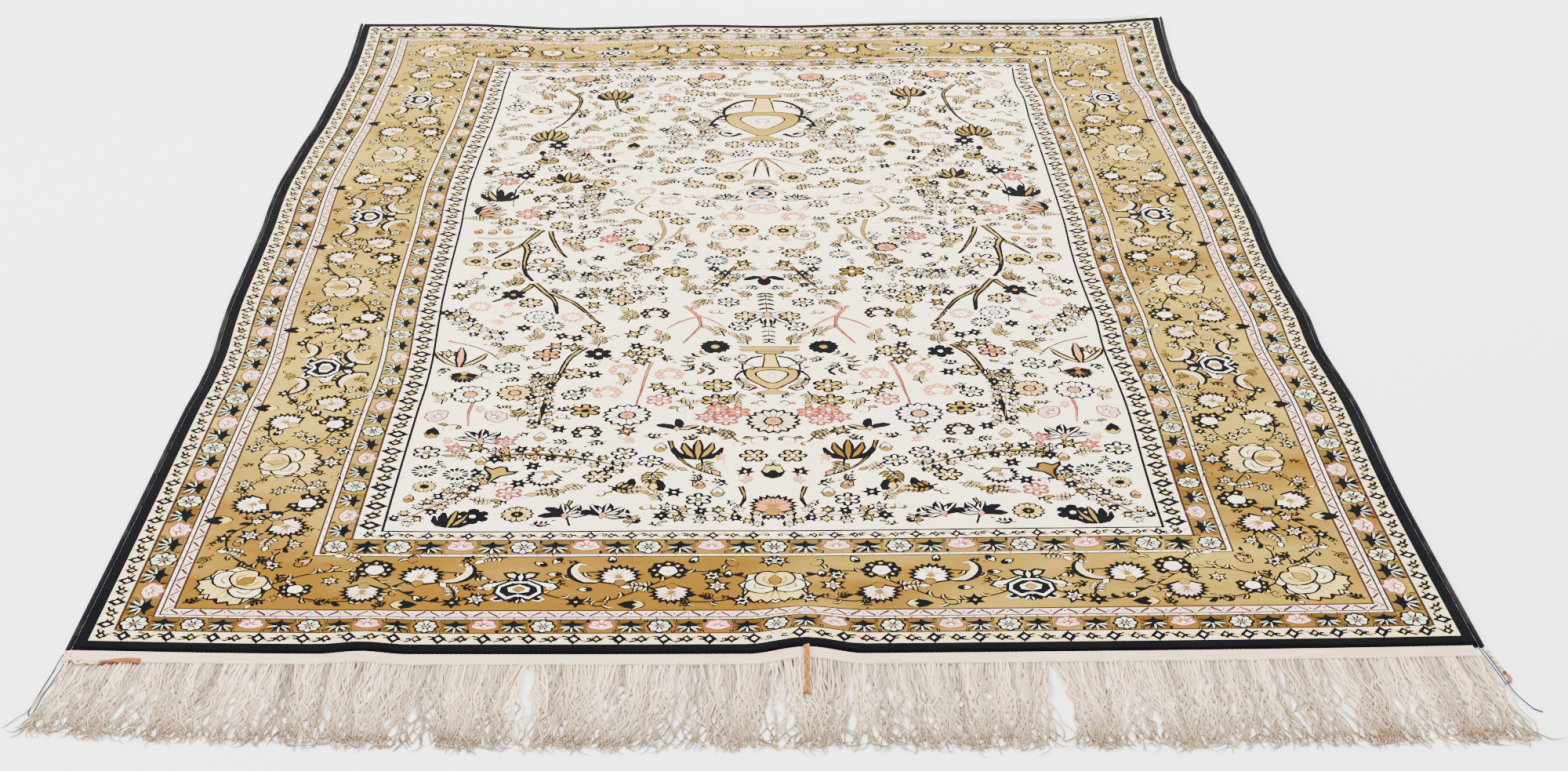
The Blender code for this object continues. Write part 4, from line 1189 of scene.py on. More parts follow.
FIELD = spots(
    (carnation, 352, 254, 20, 180, CORAL_INK), (carnation, 538, 254, 20, 180, CORAL_INK),
    (palmette, 440, 262, 17, 180), (fan, 268, 300, 18, 90), (feather, 401, 350, 46, 0, {"blades": 7}),
    (daisy, 439, 326, 15, 0, WHITE_RAYS), (daisy, 490, 312, 15, 0, WHITE_RAYS),
    (blossom, 475, 351, 13, 0, CORAL_PETALS),
    (daisy, 529, 379, 16, 0, NAVY_RING), (daisy, 424, 392, 15, 0, GOLD_RAYS),
    (daisy, 496, 398, 15, 0, GOLD_RAYS),
    (carnation, 300, 395, 16, 0, {"ink": "straw", "veins": "navy"}),
    (feather, 323, 512, 44, 0, {"blades": 9, "spread": 150}),
    (daisy, 382, 514, 21, 0, CORAL_RING), (blossom, 338, 534, 13, 0, NAVY_PETALS),
    (blossom, 339, 561, 12, 0, WHITE_PETALS),
    (bud, 439, 550, 20, 0, NAVY_INK), (sprig, 320, 622, 56, 0, {"leaves": "gold", "pairs": 5}),
    (bud, 261, 599, 15, 20, CORAL_INK), (bud, 258, 648, 15, 0, NAVY_INK),
    (blossom, 310, 622, 12, 0, WHITE_PETALS),
    (blossom, 307, 648, 12, 0, NAVY_PETALS), (blossom, 288, 671, 13, 0, CORAL_PETALS),
    (feather, 362, 672, 36, 0, {"blades": 7, "spread": 170}), (daisy, 411, 681, 17, 0, GOLD_RAYS),
    (daisy, 538, 641, 20, 0, NAVY_RING),
    (daisy, 569, 662, 20, 0, GOLD_RAYS), (feather, 281, 742, 42, 0), (cluster, 339, 733, 17, 0),
    (cluster, 364, 756, 15, 90),
    (daisy, 464, 712, 18, 0, CORAL_RING), (daisy, 496, 748, 19, 0, CORAL_RING),
    (daisy, 438, 750, 18, 0, NAVY_RING),
    (blossom, 320, 785, 15, 0, CORAL_PETALS), (blossom, 483, 795, 13, 0, GOLD_PETALS),
    (blossom, 507, 817, 12, 0, GOLD_PETALS),
    (blossom, 297, 812, 12, 0, GOLD_PETALS), (feather, 258, 790, 40, 60,
                                              {"blades": 5, "inks": ("coral", "gold")}),
    (bud, 262, 850, 13, 10, CORAL_INK), (bud, 280, 850, 13, 0, STRAW_INK),
    (bud, 299, 848, 13, 350, CORAL_INK),
    (bud, 266, 884, 13, 190, STRAW_INK), (bud, 284, 884, 13, 180, CORAL_INK),
    (bud, 303, 880, 12, 170, STRAW_INK),
    (daisy, 268, 941, 17, 0, GOLD_RAYS), (daisy, 305, 949, 19, 0, GOLD_RAYS),
    (blossom, 352, 952, 22, 10, {"ink": "cream", "petals": 8}),
    (daisy, 284, 1075, 17, 0, CORAL_RING), (daisy, 352, 1104, 19, 0, {"ink": "white", "heart": "white"}),
    (daisy, 390, 1106, 18, 0, CORAL_RING),
    (daisy, 369, 1131, 17, 0, NAVY_RING), (daisy, 519, 924, 17, 0, NAVY_RING),
    (daisy, 554, 943, 19, 0, NAVY_RING),
    (blossom, 506, 978, 15, 0, {"ink": "gold", "heart": "white"}),
    (blossom, 320, 1040, 13, 0, {"ink": "navy", "heart": "gold"}),
    (blossom, 445, 1060, 15, 0, {"ink": "straw", "heart": "coral"}), (cluster, 483, 1100, 18, 0),
    (daisy, 550, 1190, 18, 0, {"ink": "navy", "heart": "gold"}),
    (lily, 610, 992, 26, 180, {"petals": 3, "ink": "navy"}), (lily, 610, 1100, 34, 180, {"petals": 5}),
    (blossom, 364, 1208, 15, 0, {"ink": "coral", "heart": "gold"}),
    (blossom, 421, 1207, 14, 0, NAVY_PETALS),
    (feather, 270, 1240, 52, 0, {"blades": 3, "inks": ("coral", "straw")}),
    (blossom, 256, 1206, 10, 0, GOLD_PETALS),
    (blossom, 323, 1241, 13, 0, WHITE_PETALS), (daisy, 289, 1308, 23, 0, WHITE_RAYS),
    (daisy, 336, 1304, 21, 0, {"ink": "straw", "heart": "coral"}),
    (carnation, 277, 1264, 14, 180, NAVY_INK), (fan, 263, 1362, 15, 300), (fan, 320, 1362, 15, 60),
    (sprig, 345, 1372, 34, 340, {"leaves": "gold"}), (bud, 261, 1406, 18, 0, NAVY_INK),
    (lily, 312, 1418, 28, 0, {"petals": 5}),
    (blossom, 338, 1420, 11, 0, PINK_PETALS), (blossom, 289, 1436, 11, 0, CORAL_PETALS),
    (blossom, 261, 1445, 13, 0, WHITE_PETALS),
    (daisy, 264, 1486, 17, 0, NAVY_RING), (daisy, 296, 1492, 17, 0, NAVY_RING),
    (bud, 318, 1467, 14, 0, STRAW_INK),
    (trefoil, 338, 1486, 20, 200), (cluster, 449, 1250, 17, 0, CORAL_CLUSTER),
    (cluster, 499, 1262, 17, 0, CORAL_CLUSTER), (cluster, 434, 1306, 17, 0, CORAL_CLUSTER),
    (blossom, 490, 1325, 13, 0, PINK_PETALS), (daisy, 458, 1361, 27, 0,
                                               {"ink": "white", "heart": "coral", "petals": 15}),
    (blossom, 414, 1349, 15, 0, {"ink": "gold", "heart": "navy"}), (cluster, 419, 1400, 17, 0),
    (bud, 372, 1413, 15, 0, BLUSH_INK),
    (bud, 496, 1440, 15, 0, BLUSH_INK), (lily, 511, 1394, 24, 0, {"petals": 3, "ink": "straw"}),
    (blossom, 551, 1290, 15, 0, {"ink": "gold", "heart": "white"}),
    (blossom, 549, 1326, 14, 0, {"ink": "gold", "heart": "white"}),
    (blossom, 552, 1348, 12, 0, CORAL_PETALS), (blossom, 573, 1354, 12, 0, CORAL_PETALS),
    (blossom, 561, 1372, 12, 0, PINK_PETALS),
    (blossom, 540, 1366, 11, 0, PINK_PETALS), (daisy, 610, 1375, 30, 0,
                                               {"ink": "cream", "heart": "coral", "petals": 17}),
    (feather, 534, 1462, 44, 0), (bud, 609, 1493, 24, 0, {"ink": "straw", "cup": "navy"}),
    (bud, 538, 1520, 15, 340, CORAL_INK),
    (bud, 556, 1536, 15, 0, {"ink": "white"}), (lily, 410, 1580, 26, 350, {"petals": 5}),
    (lily, 446, 1580, 26, 10, {"petals": 5}),
    (leaf, 452, 1526, 30, 40, {"ink": "gold"}), (leaf, 500, 1530, 30, 320, NAVY_INK),
    (carnation, 608, 1560, 20, 0, CORAL_INK),
    (sprig, 470, 1604, 30, 0, {"leaves": "gold"}), (daisy, 268, 1519, 13, 0, GOLD_RAYS),
    (bud, 256, 1548, 12, 0, CORAL_INK),
    (carnation, 384, 1500, 17, 200, {"ink": "white"}), (blossom, 352, 1532, 12, 0, PINK_PETALS),
    (daisy, 364, 1576, 17, 0, GOLD_RAYS),
    (blossom, 322, 1580, 14, 0, NAVY_PETALS), (feather, 300, 1602, 34, 10, {"blades": 5}),
    (daisy, 560, 862, 16, 0, WHITE_RAYS),
    (cluster, 572, 800, 17, 0, CORAL_CLUSTER), (daisy, 586, 846, 20, 0, GOLD_RAYS), (fan, 610, 778, 22, 0),
    (blossom, 440, 852, 13, 0, WHITE_PETALS), (blossom, 424, 872, 12, 0, CORAL_PETALS),
    (daisy, 448, 878, 12, 0, GOLD_RAYS),
    (lily, 566, 742, 22, 0, {"petals": 5}), (palmette, 610, 716, 20, 180), (sprig, 440, 962, 34, 30),
    (carnation, 462, 905, 15, 20, CORAL_INK), (sprig, 590, 1060, 30, 330),
    (blossom, 585, 1106, 12, 0, GOLD_PETALS))


def vase(chart, top, size):
    """A footed gold vase on the middle line, with scrolled dark handles."""
    def at(points):
        return [(HALF_WIDTH + a * size, top + b * size) for a, b in points]

    def both(points):
        return at(points + [(-a, b) for a, b in reversed(points)])

    for side in (-1, 1):
        for curve in (((14, 26), (36, 34), (56, 66), (54, 100), (38, 112), (30, 96), (40, 86)),
                      ((30, 170), (46, 184), (60, 176), (58, 160), (46, 160)),
                      ((44, 88), (66, 108), (74, 136), (60, 152), (50, 138))):
            chart.vine(at([(a * side, b) for a, b in curve]), "navy", 9.0 * size, "taper", 8.0)
        for spot in ((52, 104), (64, 140), (44, 176), (66, 84)):
            x, y = at([(spot[0] * side, spot[1])])[0]
            leaf(chart, x, y, 15 * size, 60 * side, "navy", "navy", 0.2)
    body = smooth_ring(both([(16, 76), (42, 84), (54, 104), (46, 134), (24, 160), (9, 176)]))
    chart.patch(body, "gold", "navy", 3.0)
    chart.patch(smooth_ring(both([(8, 92), (26, 98), (32, 112), (22, 132), (8, 148)])), "cream", "navy",
                2.4)
    chart.patch(both([(14, 0), (28, 2), (26, 12), (12, 16)]), "gold", "navy", 2.6)
    chart.patch(both([(10, 16), (13, 44), (17, 78)]), "straw", "navy", 2.4)
    for level in (28, 44, 60):
        chart.blade(at([(-12, level), (12, level)]), 2.2 * size, "coral", shape="even")
    chart.patch(both([(6, 176), (12, 184), (28, 192), (30, 200)]), "gold", "navy", 1.6)
    daisy(chart, HALF_WIDTH, top + 116 * size, 15 * size, 0, ink="coral", heart="white", edge="white")
    for step in range(5):
        chart.claim(HALF_WIDTH, top + 40 * step * size, 34 * size)


def draw_field(chart):
    """Branches, vases and flowers of the left half of the field."""
    for stalk in STALKS:
        chart.blade(smooth(stalk.points), stalk.width, stalk.ink, stalk.edge, "taper")
        for spot in smooth(stalk.points, 9.0):
            chart.claim(*spot, 2.5)
    laurel(chart, ((548, 1255), (524, 1250), (520, 1222), (540, 1204)), 11)
    laurel(chart, ((610, 1040), (610, 1108), (610, 1176)), 12)
    laurel(chart, ((560, 449), (548, 420), (556, 396), (576, 384)), 10)
    laurel(chart, ((282, 770), (268, 745), (262, 715), (268, 690)), 9, "navy", "gold")
    for path in SPRAYS:
        spray(chart, path, (("white", "gold"), ("straw", "coral"), ("navy", "white"), ("gold", "ivory")),
              8.2, 9.0, "gold")
        for spot in smooth(path, 12.0):
            chart.claim(*spot, 12.0)
    vase(chart, 333, 0.95)
    vase(chart, 1200, 0.55)
    for level in (1188, 1196):
        chart.patch([(576, level), (644, level), (640, level + 6), (580, level + 6)], "gold", "navy", 1.2)
    for spot in FIELD:
        spot.make(chart, spot.x, spot.y, spot.size, spot.turn, **spot.words)
    rng = random.Random(23)
    sprinkle(chart, rng, 248, 234, HALF_WIDTH - 2, 1602, 700, FIELD_FILL, 0.84)


FIELD_FILL = (
    (twig, 18.0, 0.2, {"heart": "straw", "pairs": 5, "inner": "gold"}),
    (blossom, 13.0, 0.15, {"ink": "straw", "heart": "white"}),
    (twig, 15.0, 0.4, {"heart": "coral", "pairs": 4, "inner": "gold"}),
    (blossom, 12.0, 0.2, {"ink": "white", "heart": "gold"}),
    (curl, 13.0, 0.4, {"inner": "gold"}), (twig, 12.0, 0.6, {"heart": "gold", "inner": "straw"}),
    (blossom, 10.0, 0.3, {"ink": "gold", "heart": "ivory"}), (twig, 10.0, 1.0, {"pairs": 3}),
    (blossom, 8.4, 0.4, {"ink": "navy", "heart": "white"}), (twig, 9.0, 0.4, {"ink": "coral", "pairs": 3}),
    (curl, 8.4, 1.2, {"inner": "gold"}), (twig, 7.2, 0.5, {"pairs": 2, "heart": "gold"}))


# The strips that the pile is knotted in, as chart columns of the left half, and their drawing on a square map
Strip = namedtuple("Strip", "name left right rows")
STRIPS = (Strip("border", 0.0, 241.0, 3), Strip("field", 241.0, 425.0, 3),
          Strip("middle", 425.0, HALF_WIDTH, 3))
GRID = 20.0               # millimetres between extra points, so that the cloth can bend
BACK_GRID = 40.0          # the same for the back
TILES = 20                # lengths that a strip is cut in
EDGE_ROUNDING = 4.0       # millimetres in from the edge over which the pile slopes down
EDGE_DROP = 0.0026        # metres that it slopes down
FOUNDATION = PILE - 0.0007    # metres up to the foundation's face, just under the pile's


def box_of(points):
    across, along = [p[0] for p in points], [p[1] for p in points]
    return min(across), max(across), min(along), max(along)


def holds(points, x, y):
    """Whether an outline goes round a point."""
    inside = False
    ax, ay = points[-1]
    for bx, by in points:
        if (ay > y) != (by > y) and x < ax + (bx - ax) * (y - ay) / (by - ay):
            inside = not inside
        ax, ay = bx, by
    return inside


def knot_tile(shapes, left, right, far, near, spacing):
    """Cuts the overlapping flat shapes of one tile into triangles, each with the ink that lies on top."""
    line = [(left, far), (right, far), (right, near), (left, near)]
    outline = [spot for k in range(4) for spot in edge(line[k], line[(k + 1) % 4])]
    chosen = [(outline, "navy", (left, right, far, near))]
    chosen += [shape for shape in shapes
               if shape[2][0] < right and shape[2][1] > left and shape[2][2] < near and shape[2][3] > far]
    places, faces = [], []
    for points, _, _ in chosen:
        faces.append(list(range(len(places), len(places) + len(points))))
        places += [Vector(p) for p in points]
    for i in range(int((right - left) / spacing)):
        for j in range(int((near - far) / spacing)):
            places.append(Vector((left + (i + 0.5) * spacing, far + (j + 0.5) * spacing)))
    points, _, triangles, _, _, sources = delaunay_2d_cdt(places, [], faces, 1, 1e-4, True)
    kept, inks = [], []
    for triangle, found in zip(triangles, sources):
        if 0 not in found:
            continue
        x = sum(points[i].x for i in triangle) / 3
        y = sum(points[i].y for i in triangle) / 3
        for index in sorted(found, reverse=True):
            outline, _, box = chosen[index]
            if box[0] <= x <= box[1] and box[2] <= y <= box[3] and holds(outline, x, y):
                break
        kept.append(triangle)
        inks.append(chosen[index][1])
    return points, kept, inks


def knot(shapes, left, right, rng, wander=0.28, spacing=GRID):
    """Cuts a strip tile by tile, and joins the tiles at the points that they share."""
    loose = []
    for points, ink in shapes:
        if len(points) < 90:
            points = [(x + rng.gauss(0, wander), y + rng.gauss(0, wander)) for x, y in points]
        if sum(a[0] * b[1] - b[0] * a[1] for a, b in zip(points, points[1:] + points[:1])) < 0:
            points = points[::-1]
        loose.append((points, ink, box_of(points)))
    places, numbers, triangles, inks = [], {}, [], []
    for tile in range(TILES):
        far, near = RUG_LENGTH * tile / TILES, RUG_LENGTH * (tile + 1) / TILES
        points, cut, cut_inks = knot_tile(loose, left, right, far, near, spacing)
        joined = []
        for point in points:
            key = (round(point.x * 400), round(point.y * 400))
            if key not in numbers:
                numbers[key] = len(places)
                places.append((point.x, point.y))
            joined.append(numbers[key])
        for triangle, ink in zip(cut, cut_inks):
            a, b, c = (joined[i] for i in triangle)
            if a != b and b != c and c != a:
                triangles.append((a, b, c))
                inks.append(ink)
    return places, triangles, inks


def on_floor(u, v, inset=SELVEDGE + GAP):
    """Where a chart point lies on the floor."""
    return lay((u - HALF_WIDTH) / 1000, (RUG_LENGTH / 2 - v) / 1000, inset)


def knotted_sheet(name, points, triangles, inks, palette, height, mirrored, strip=None):
    """A mesh of the knotted triangles, laid on the floor, with their inks as a colour attribute."""
    places = []
    for u, v in points:
        across = 2 * HALF_WIDTH - u if mirrored else u
        x, y = on_floor(across, v)
        edge = min(u, 2 * HALF_WIDTH - u, v, RUG_LENGTH - v)
        slope = max(0.0, 1 - edge / EDGE_ROUNDING)
        places.append((x, y, height + lift(x, y) - EDGE_DROP * slope ** 2))
    if not mirrored:
        triangles = [triangle[::-1] for triangle in triangles]
    mesh = bpy.data.meshes.new(name)
    mesh.from_pydata(places, [], triangles)
    layer = mesh.color_attributes.new("ink", "FLOAT_COLOR", "CORNER")
    colours = []
    for ink in inks:
        colours += [*palette[ink], 1.0 if ink in GROUNDS else 0.0] * 3
    layer.data.foreach_set("color", colours)
    mesh.shade_smooth()
    made = add(name, mesh)
    if strip:
        map_strip(mesh, points, strip, mirrored)
    return made


def map_strip(mesh, points, strip, mirrored):
    """Lays a long strip's map out in rows side by side, so that a square picture holds it well."""
    width, margin = strip.right - strip.left + 8, 24.0
    long = RUG_LENGTH / strip.rows + margin
    size = max(width * strip.rows, long)
    layer = mesh.uv_layers.new(name="OFBake")
    for polygon in mesh.polygons:
        middle = sum(points[i][1] for i in polygon.vertices) / 3
        row = min(strip.rows - 1, int(middle / (RUG_LENGTH / strip.rows)))
        for corner in polygon.loop_indices:
            u, v = points[mesh.loops[corner].vertex_index]
            across = (strip.right - u if mirrored else u - strip.left) + 4 + width * row
            along = long - margin / 2 - (v - row * RUG_LENGTH / strip.rows)
            layer.data[corner].uv = (across / size, along / size)


def add(name, data, slot=None, node=None):
    """Puts a mesh or curve in the scene on the rug's body."""
    made = bpy.data.objects.new(name, data)
    bpy.context.scene.collection.objects.link(made)
    return rides(made, slot, node)


def rides(made, slot=None, node=None):
    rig.ride(made, "root")
    if slot:
        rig.slot(made, slot)
    if node:
        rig.replaces(made, node)
    return made


def activate(made):
    bpy.ops.object.select_all(action="DESELECT")
    made.select_set(True)
    bpy.context.view_layer.objects.active = made


def grid(name, columns, rows, place, thickness=0.0):
    """A primitive grid whose points are then put where place says, and thickened downwards."""
    bpy.ops.object.select_all(action="DESELECT")
    bpy.ops.mesh.primitive_grid_add(x_subdivisions=columns, y_subdivisions=rows, size=2)
    made = bpy.context.object
    made.name = made.data.name = name
    for vertex in made.data.vertices:
        vertex.co = place((vertex.co.x + 1) / 2, (vertex.co.y + 1) / 2)
    if thickness:
        thicken(made, thickness)
    bpy.ops.object.shade_smooth_by_angle(angle=math.radians(50))
    return made


def thicken(made, thickness):
    activate(made)
    wall = made.modifiers.new("thickness", "SOLIDIFY")
    wall.thickness = thickness
    wall.offset = -1.0
    wall.use_even_offset = False
    bpy.ops.object.modifier_apply(modifier=wall.name)


class Tubes:
    """Gathers many thin tubes into one mesh."""

    def __init__(self):
        self.places, self.faces, self.maps, self.shades = [], [], [], []

    def add(self, path, radii, sides=3, spin=0.0, shade=0.5, flat=1.0, since=0.0):
        """A tube along a path of points, each with its own radius; flat squeezes it vertically.

        Its marks of how far along a strand they lie run from since to 1.
        """
        start = len(self.places)
        last = len(path) - 1
        for i, (point, radius) in enumerate(zip(path, radii)):
            ahead = (Vector(path[min(i + 1, last)]) - Vector(path[max(i - 1, 0)])).normalized()
            right = ahead.cross(Vector((0, 0, 1)))
            right = right.normalized() if right.length > 1e-6 else Vector((1, 0, 0))
            up = right.cross(ahead)
            for k in range(sides):
                a = spin + math.tau * k / sides
                across, height = right * math.cos(a) * radius, up * math.sin(a) * radius * flat
                self.places.append(Vector(point) + across + height)
        for i in range(last):
            for k in range(sides):
                n = (k + 1) % sides
                low, high = start + i * sides, start + (i + 1) * sides
                self.faces.append((low + n, low + k, high + k, high + n))
                here, ahead = (since + (1 - since) * j / last for j in (i, i + 1))
                self.shades += [(shade, here), (shade, here), (shade, ahead), (shade, ahead)]
        for ring, order in ((start, 1), (start + last * sides, -1)):
            self.faces.append([ring + k for k in range(sides)][::order])
            self.shades += [(shade, since if order == 1 else 1.0)] * sides

    def make(self, name, slot=None, node=None):
        """The mesh, with each tube's own shade and the share of its length in a colour attribute."""
        mesh = bpy.data.meshes.new(name)
        mesh.from_pydata(self.places, [], self.faces)
        layer = mesh.color_attributes.new("strand", "FLOAT_COLOR", "CORNER")
        layer.data.foreach_set("color", [v for a, b in self.shades for v in (a, b, 0.0, 1.0)])
        mesh.shade_smooth()
        return add(name, mesh, slot, node)


# A fringe strand's points, the radii of the hair at its frayed end, the hair's length, and the mark of how
# far along the strand the hair starts
STRAND_POINTS = 13
HAIR_RADII = (0.0008, 0.0007, 0.0006, 0.0004, 0.0002)
HAIR_LENGTH = 0.014
HAIR_START = 0.8

# Layers of the fringe from the floor up: share of the strands, lowest and highest level, and length
FRINGE_LAYERS = ((0.42, 0.0008, 0.0013, 0.97), (0.33, 0.0014, 0.0020, 0.985), (0.25, 0.0019, 0.0026, 1.0))
STRAND_LOWEST, STRAND_HIGHEST = 0.0008, 0.0030
UNDER_KILIM = 0.002       # how far a strand starts under the flat-woven band


def strand_path(x, rng, low, high, shorten):
    """A fringe strand from under the flat-woven band to its tip on the floor."""
    root = near_end(x) - KILIM_DEPTH + UNDER_KILIM
    tip = -LENGTH / 2 - read(TIPS, x) + rng.uniform(-0.006, 0.005)
    reach = (root - tip) * shorten
    waves = [(rng.uniform(0.0006, 0.0032), rng.uniform(0.8, 4.2),
              rng.uniform(0, math.tau)) for _ in range(3)]
    lean = rng.gauss(0, 0.0065) + 0.009 * math.sin(61 * x + 2 * math.sin(23 * x))
    hook = rng.gauss(0, 0.006)
    level = rng.uniform(low, high)
    path = []
    for i in range(STRAND_POINTS):
        t = i / (STRAND_POINTS - 1)
        shift = parted(x, t) + lean * t * t + hook * t ** 6
        shift += sum(a * (math.sin(math.tau * f * t + p) - math.sin(p)) * min(1.0, 2 * t) for a, f,
                     p in waves)
        y = root - reach * t
        z = level * (1 - 0.35 * t) + 0.0004 * math.sin(9 * t + waves[0][2])
        z = max(STRAND_LOWEST, min(STRAND_HIGHEST, z))
        path.append((x + shift, y, z + lift(x + shift, y)))
    return path


def frayed_end(tubes, path, rng, shade):
    """A fine curled hair where a strand's end has come undone."""
    end, before = Vector(path[-1]), Vector(path[-2])
    ahead = (end - before).normalized()
    right = Vector((-ahead.y, ahead.x, 0))
    curl, long = rng.gauss(0, 1.0), HAIR_LENGTH * rng.uniform(0.4, 1.1)
    hair = []
    for k in range(len(HAIR_RADII)):
        t = k / (len(HAIR_RADII) - 1)
        spot = end + ahead * long * t * (1 - 0.3 * t) + right * long * 0.55 * curl * t * t
        spot.z = max(0.0004, end.z * (1 - t) + 0.0006 * t + 0.0012 * t * abs(curl) * 0.5)
        hair.append(spot)
    tubes.add(hair, HAIR_RADII, 3, rng.uniform(0, 2), shade, 1.0, HAIR_START)


def make_fringe(settings):
    """Three layers of wavy strands, in a left and a right half, each strand darkened by its own tone and by painted
    shade between clumps.
    """
    halves = []
    for name, sign in (("fringe_left", -1), ("fringe_right", 1)):
        rng = random.Random(7 + sign)
        tubes = Tubes()
        for share, low, high, shorten in FRINGE_LAYERS:
            count = round(settings.strands * share / 2)
            for k in range(count):
                x = sign * (k + 0.5 + rng.uniform(-0.35, 0.35)) / count * (WIDTH / 2 - 0.0035)
                thick = settings.strand_diameter / 2 * rng.uniform(0.82, 1.12)
                path = strand_path(x, rng, low, high, shorten * rng.uniform(0.95, 1.0))
                radii = [thick * (1 - 0.35 * (i / (STRAND_POINTS - 1)) ** 2) for i in range(STRAND_POINTS)]
                # each strand's darkness: random tone, and clumps about 7 mm apart whose darker strands are painted
                # shade between bundles
                clump = 0.5 + 0.5 * math.sin(820 * x + 3 * math.sin(310 * x))
                shade = 0.05 + 0.45 * clump + 0.50 * rng.random()
                tubes.add(path, radii, 3, rng.uniform(0, 2), shade, 0.9)
                frayed_end(tubes, path, rng, shade)
        made = tubes.make(name, "fringe", "fringe_near")
        halves.append(made)
    return halves


def make_near_kilim(settings):
    """The flat-woven band in front of the pile, ribbed by its warps."""
    ribs = settings.kilim_ribs

    def place(s, t):
        x, _ = lay((s - 0.5) * WIDTH, 0, GAP)
        front = near_end(x) - KILIM_DEPTH
        scallop = 0.0006 * abs(math.sin(math.pi * s * ribs / 8)) * (1 - t)
        y = front - scallop + (KILIM_DEPTH + 0.0012) * t
        x += (side(y, -1 if s < 0.5 else 1) - side(-LENGTH / 2, -1 if s < 0.5 else 1)) * abs(2 * s - 1) ** 8
        rib = 0.00022 * abs(math.sin(math.pi * s * ribs)) if t < 0.99 else 0
        return x, y, KILIM + 0.0009 + rib * 1.2 + lift(x, y)

    made = grid("kilim_near", ribs * 2, 5, place, KILIM)
    return rides(made, "kilim")


def make_far_kilim(settings):
    """The strip of flat weave that shows past the pile on the right half of the far end."""
    ribs = settings.kilim_ribs // 2

    def place(s, t):
        x = FAR_KILIM_START + (FAR_KILIM_END - FAR_KILIM_START) * s
        x, y = lay(x, LENGTH / 2)
        y += read(FAR_KILIM, x) * t + 0.0006 * math.sin(40 * s) * t - 0.001 * (1 - t)
        return x, y, KILIM + 0.0002 * abs(math.sin(math.pi * s * ribs)) + lift(x, y)

    made = grid("kilim_strip_far", ribs * 2, 4, place, KILIM * 0.92)
    return rides(made, "kilim", "kilim_far")


def make_selvedge(name, sign, settings):
    """The overcast cord along one side: yarn wrapped slantwise round it."""
    tubes = Tubes()
    rng = random.Random(31 + sign)
    rings, sides = round(LENGTH / settings.overcast_pitch * 3), 6
    path, radii = [], []
    for i in range(rings + 1):
        along = (i / rings - 0.5) * LENGTH
        x, y = lay(sign * WIDTH / 2, along, SELVEDGE / 2)
        path.append((x, y, SELVEDGE / 2 + lift(x, y)))
        radii.append(SELVEDGE / 2)
    tubes.add(path, radii, sides, 0.0, 0.5)
    for i in range(rings + 1):
        loose = 1 + 0.05 * rng.gauss(0, 1) * (i % 3 == 0)
        for k in range(sides):
            ridge = 0.90 + 0.12 * math.cos(math.tau * (i / 3 + sign * k / sides)) * loose
            centre = Vector(path[i])
            spot = tubes.places[i * sides + k]
            tubes.places[i * sides + k] = centre + (spot - centre) * ridge
    return tubes.make(name, "selvedge", name)


def cord_points(cord):
    return [place + Vector((0, 0, lift(place.x, place.y))) for place in smooth_route(cord.route,
                                                                                     cord.diameter * 0.7)]


def length_of(points):
    return sum((Vector(b) - Vector(a)).length for a, b in zip(points, points[1:]))


# A plait's and a twisted cord's plies, as shares of the cord's diameter: how far off the middle, how thick,
# and how long a turn is
PLAIT_PLIES, PLAIT_ACROSS, PLAIT_UP, PLAIT_RADIUS, PLAIT_TURN = 3, 0.30, 0.15, 0.21, 3.4
TWIST_PLIES, TWIST_OFF, TWIST_RADIUS, TWIST_TURN = 2, 0.17, 0.33, 3.0
THINNEST_PLAIT = 0.0035   # a thinner cord is twisted


def plaited(tubes, points, diameter, is_plait, rng):
    """Plies round a line of points, plaited or twisted."""
    plies = PLAIT_PLIES if is_plait else TWIST_PLIES
    turn = PLAIT_TURN if is_plait else TWIST_TURN
    travelled = 0.0
    tracks = [[] for _ in range(plies)]
    for i, point in enumerate(points):
        ahead = (Vector(points[min(i + 1, len(points) - 1)]) - Vector(points[max(i - 1, 0)])).normalized()
        right = ahead.cross(Vector((0, 0, 1))).normalized()
        up = right.cross(ahead)
        travelled += (Vector(points[i]) - Vector(points[i - 1])).length if i else 0.0
        for k in range(plies):
            phase = math.tau * (travelled / (diameter * turn) + k / plies)
            if is_plait:
                shift = right * math.sin(phase) * diameter * PLAIT_ACROSS
                shift += up * math.sin(2 * phase) * diameter * PLAIT_UP
            else:
                shift = (right * math.cos(phase) + up * math.sin(phase)) * diameter * TWIST_OFF
            tracks[k].append(Vector(point) + shift)
    for k, track in enumerate(tracks):
        radius = diameter * (PLAIT_RADIUS if is_plait else TWIST_RADIUS)
        shade = k / (plies - 1) if is_plait else rng.random()
        tubes.add(track, [radius] * len(track), 6, 0, shade)


def make_cord(cord, rng):
    """One loose cord or thread, plied from finer yarn."""
    points = cord_points(cord)
    tubes = Tubes()
    plaited(tubes, points, cord.diameter, cord.diameter > THINNEST_PLAIT, rng)
    made = tubes.make(cord.name + "_yarn", cord.colour, cord.name)
    return made, points


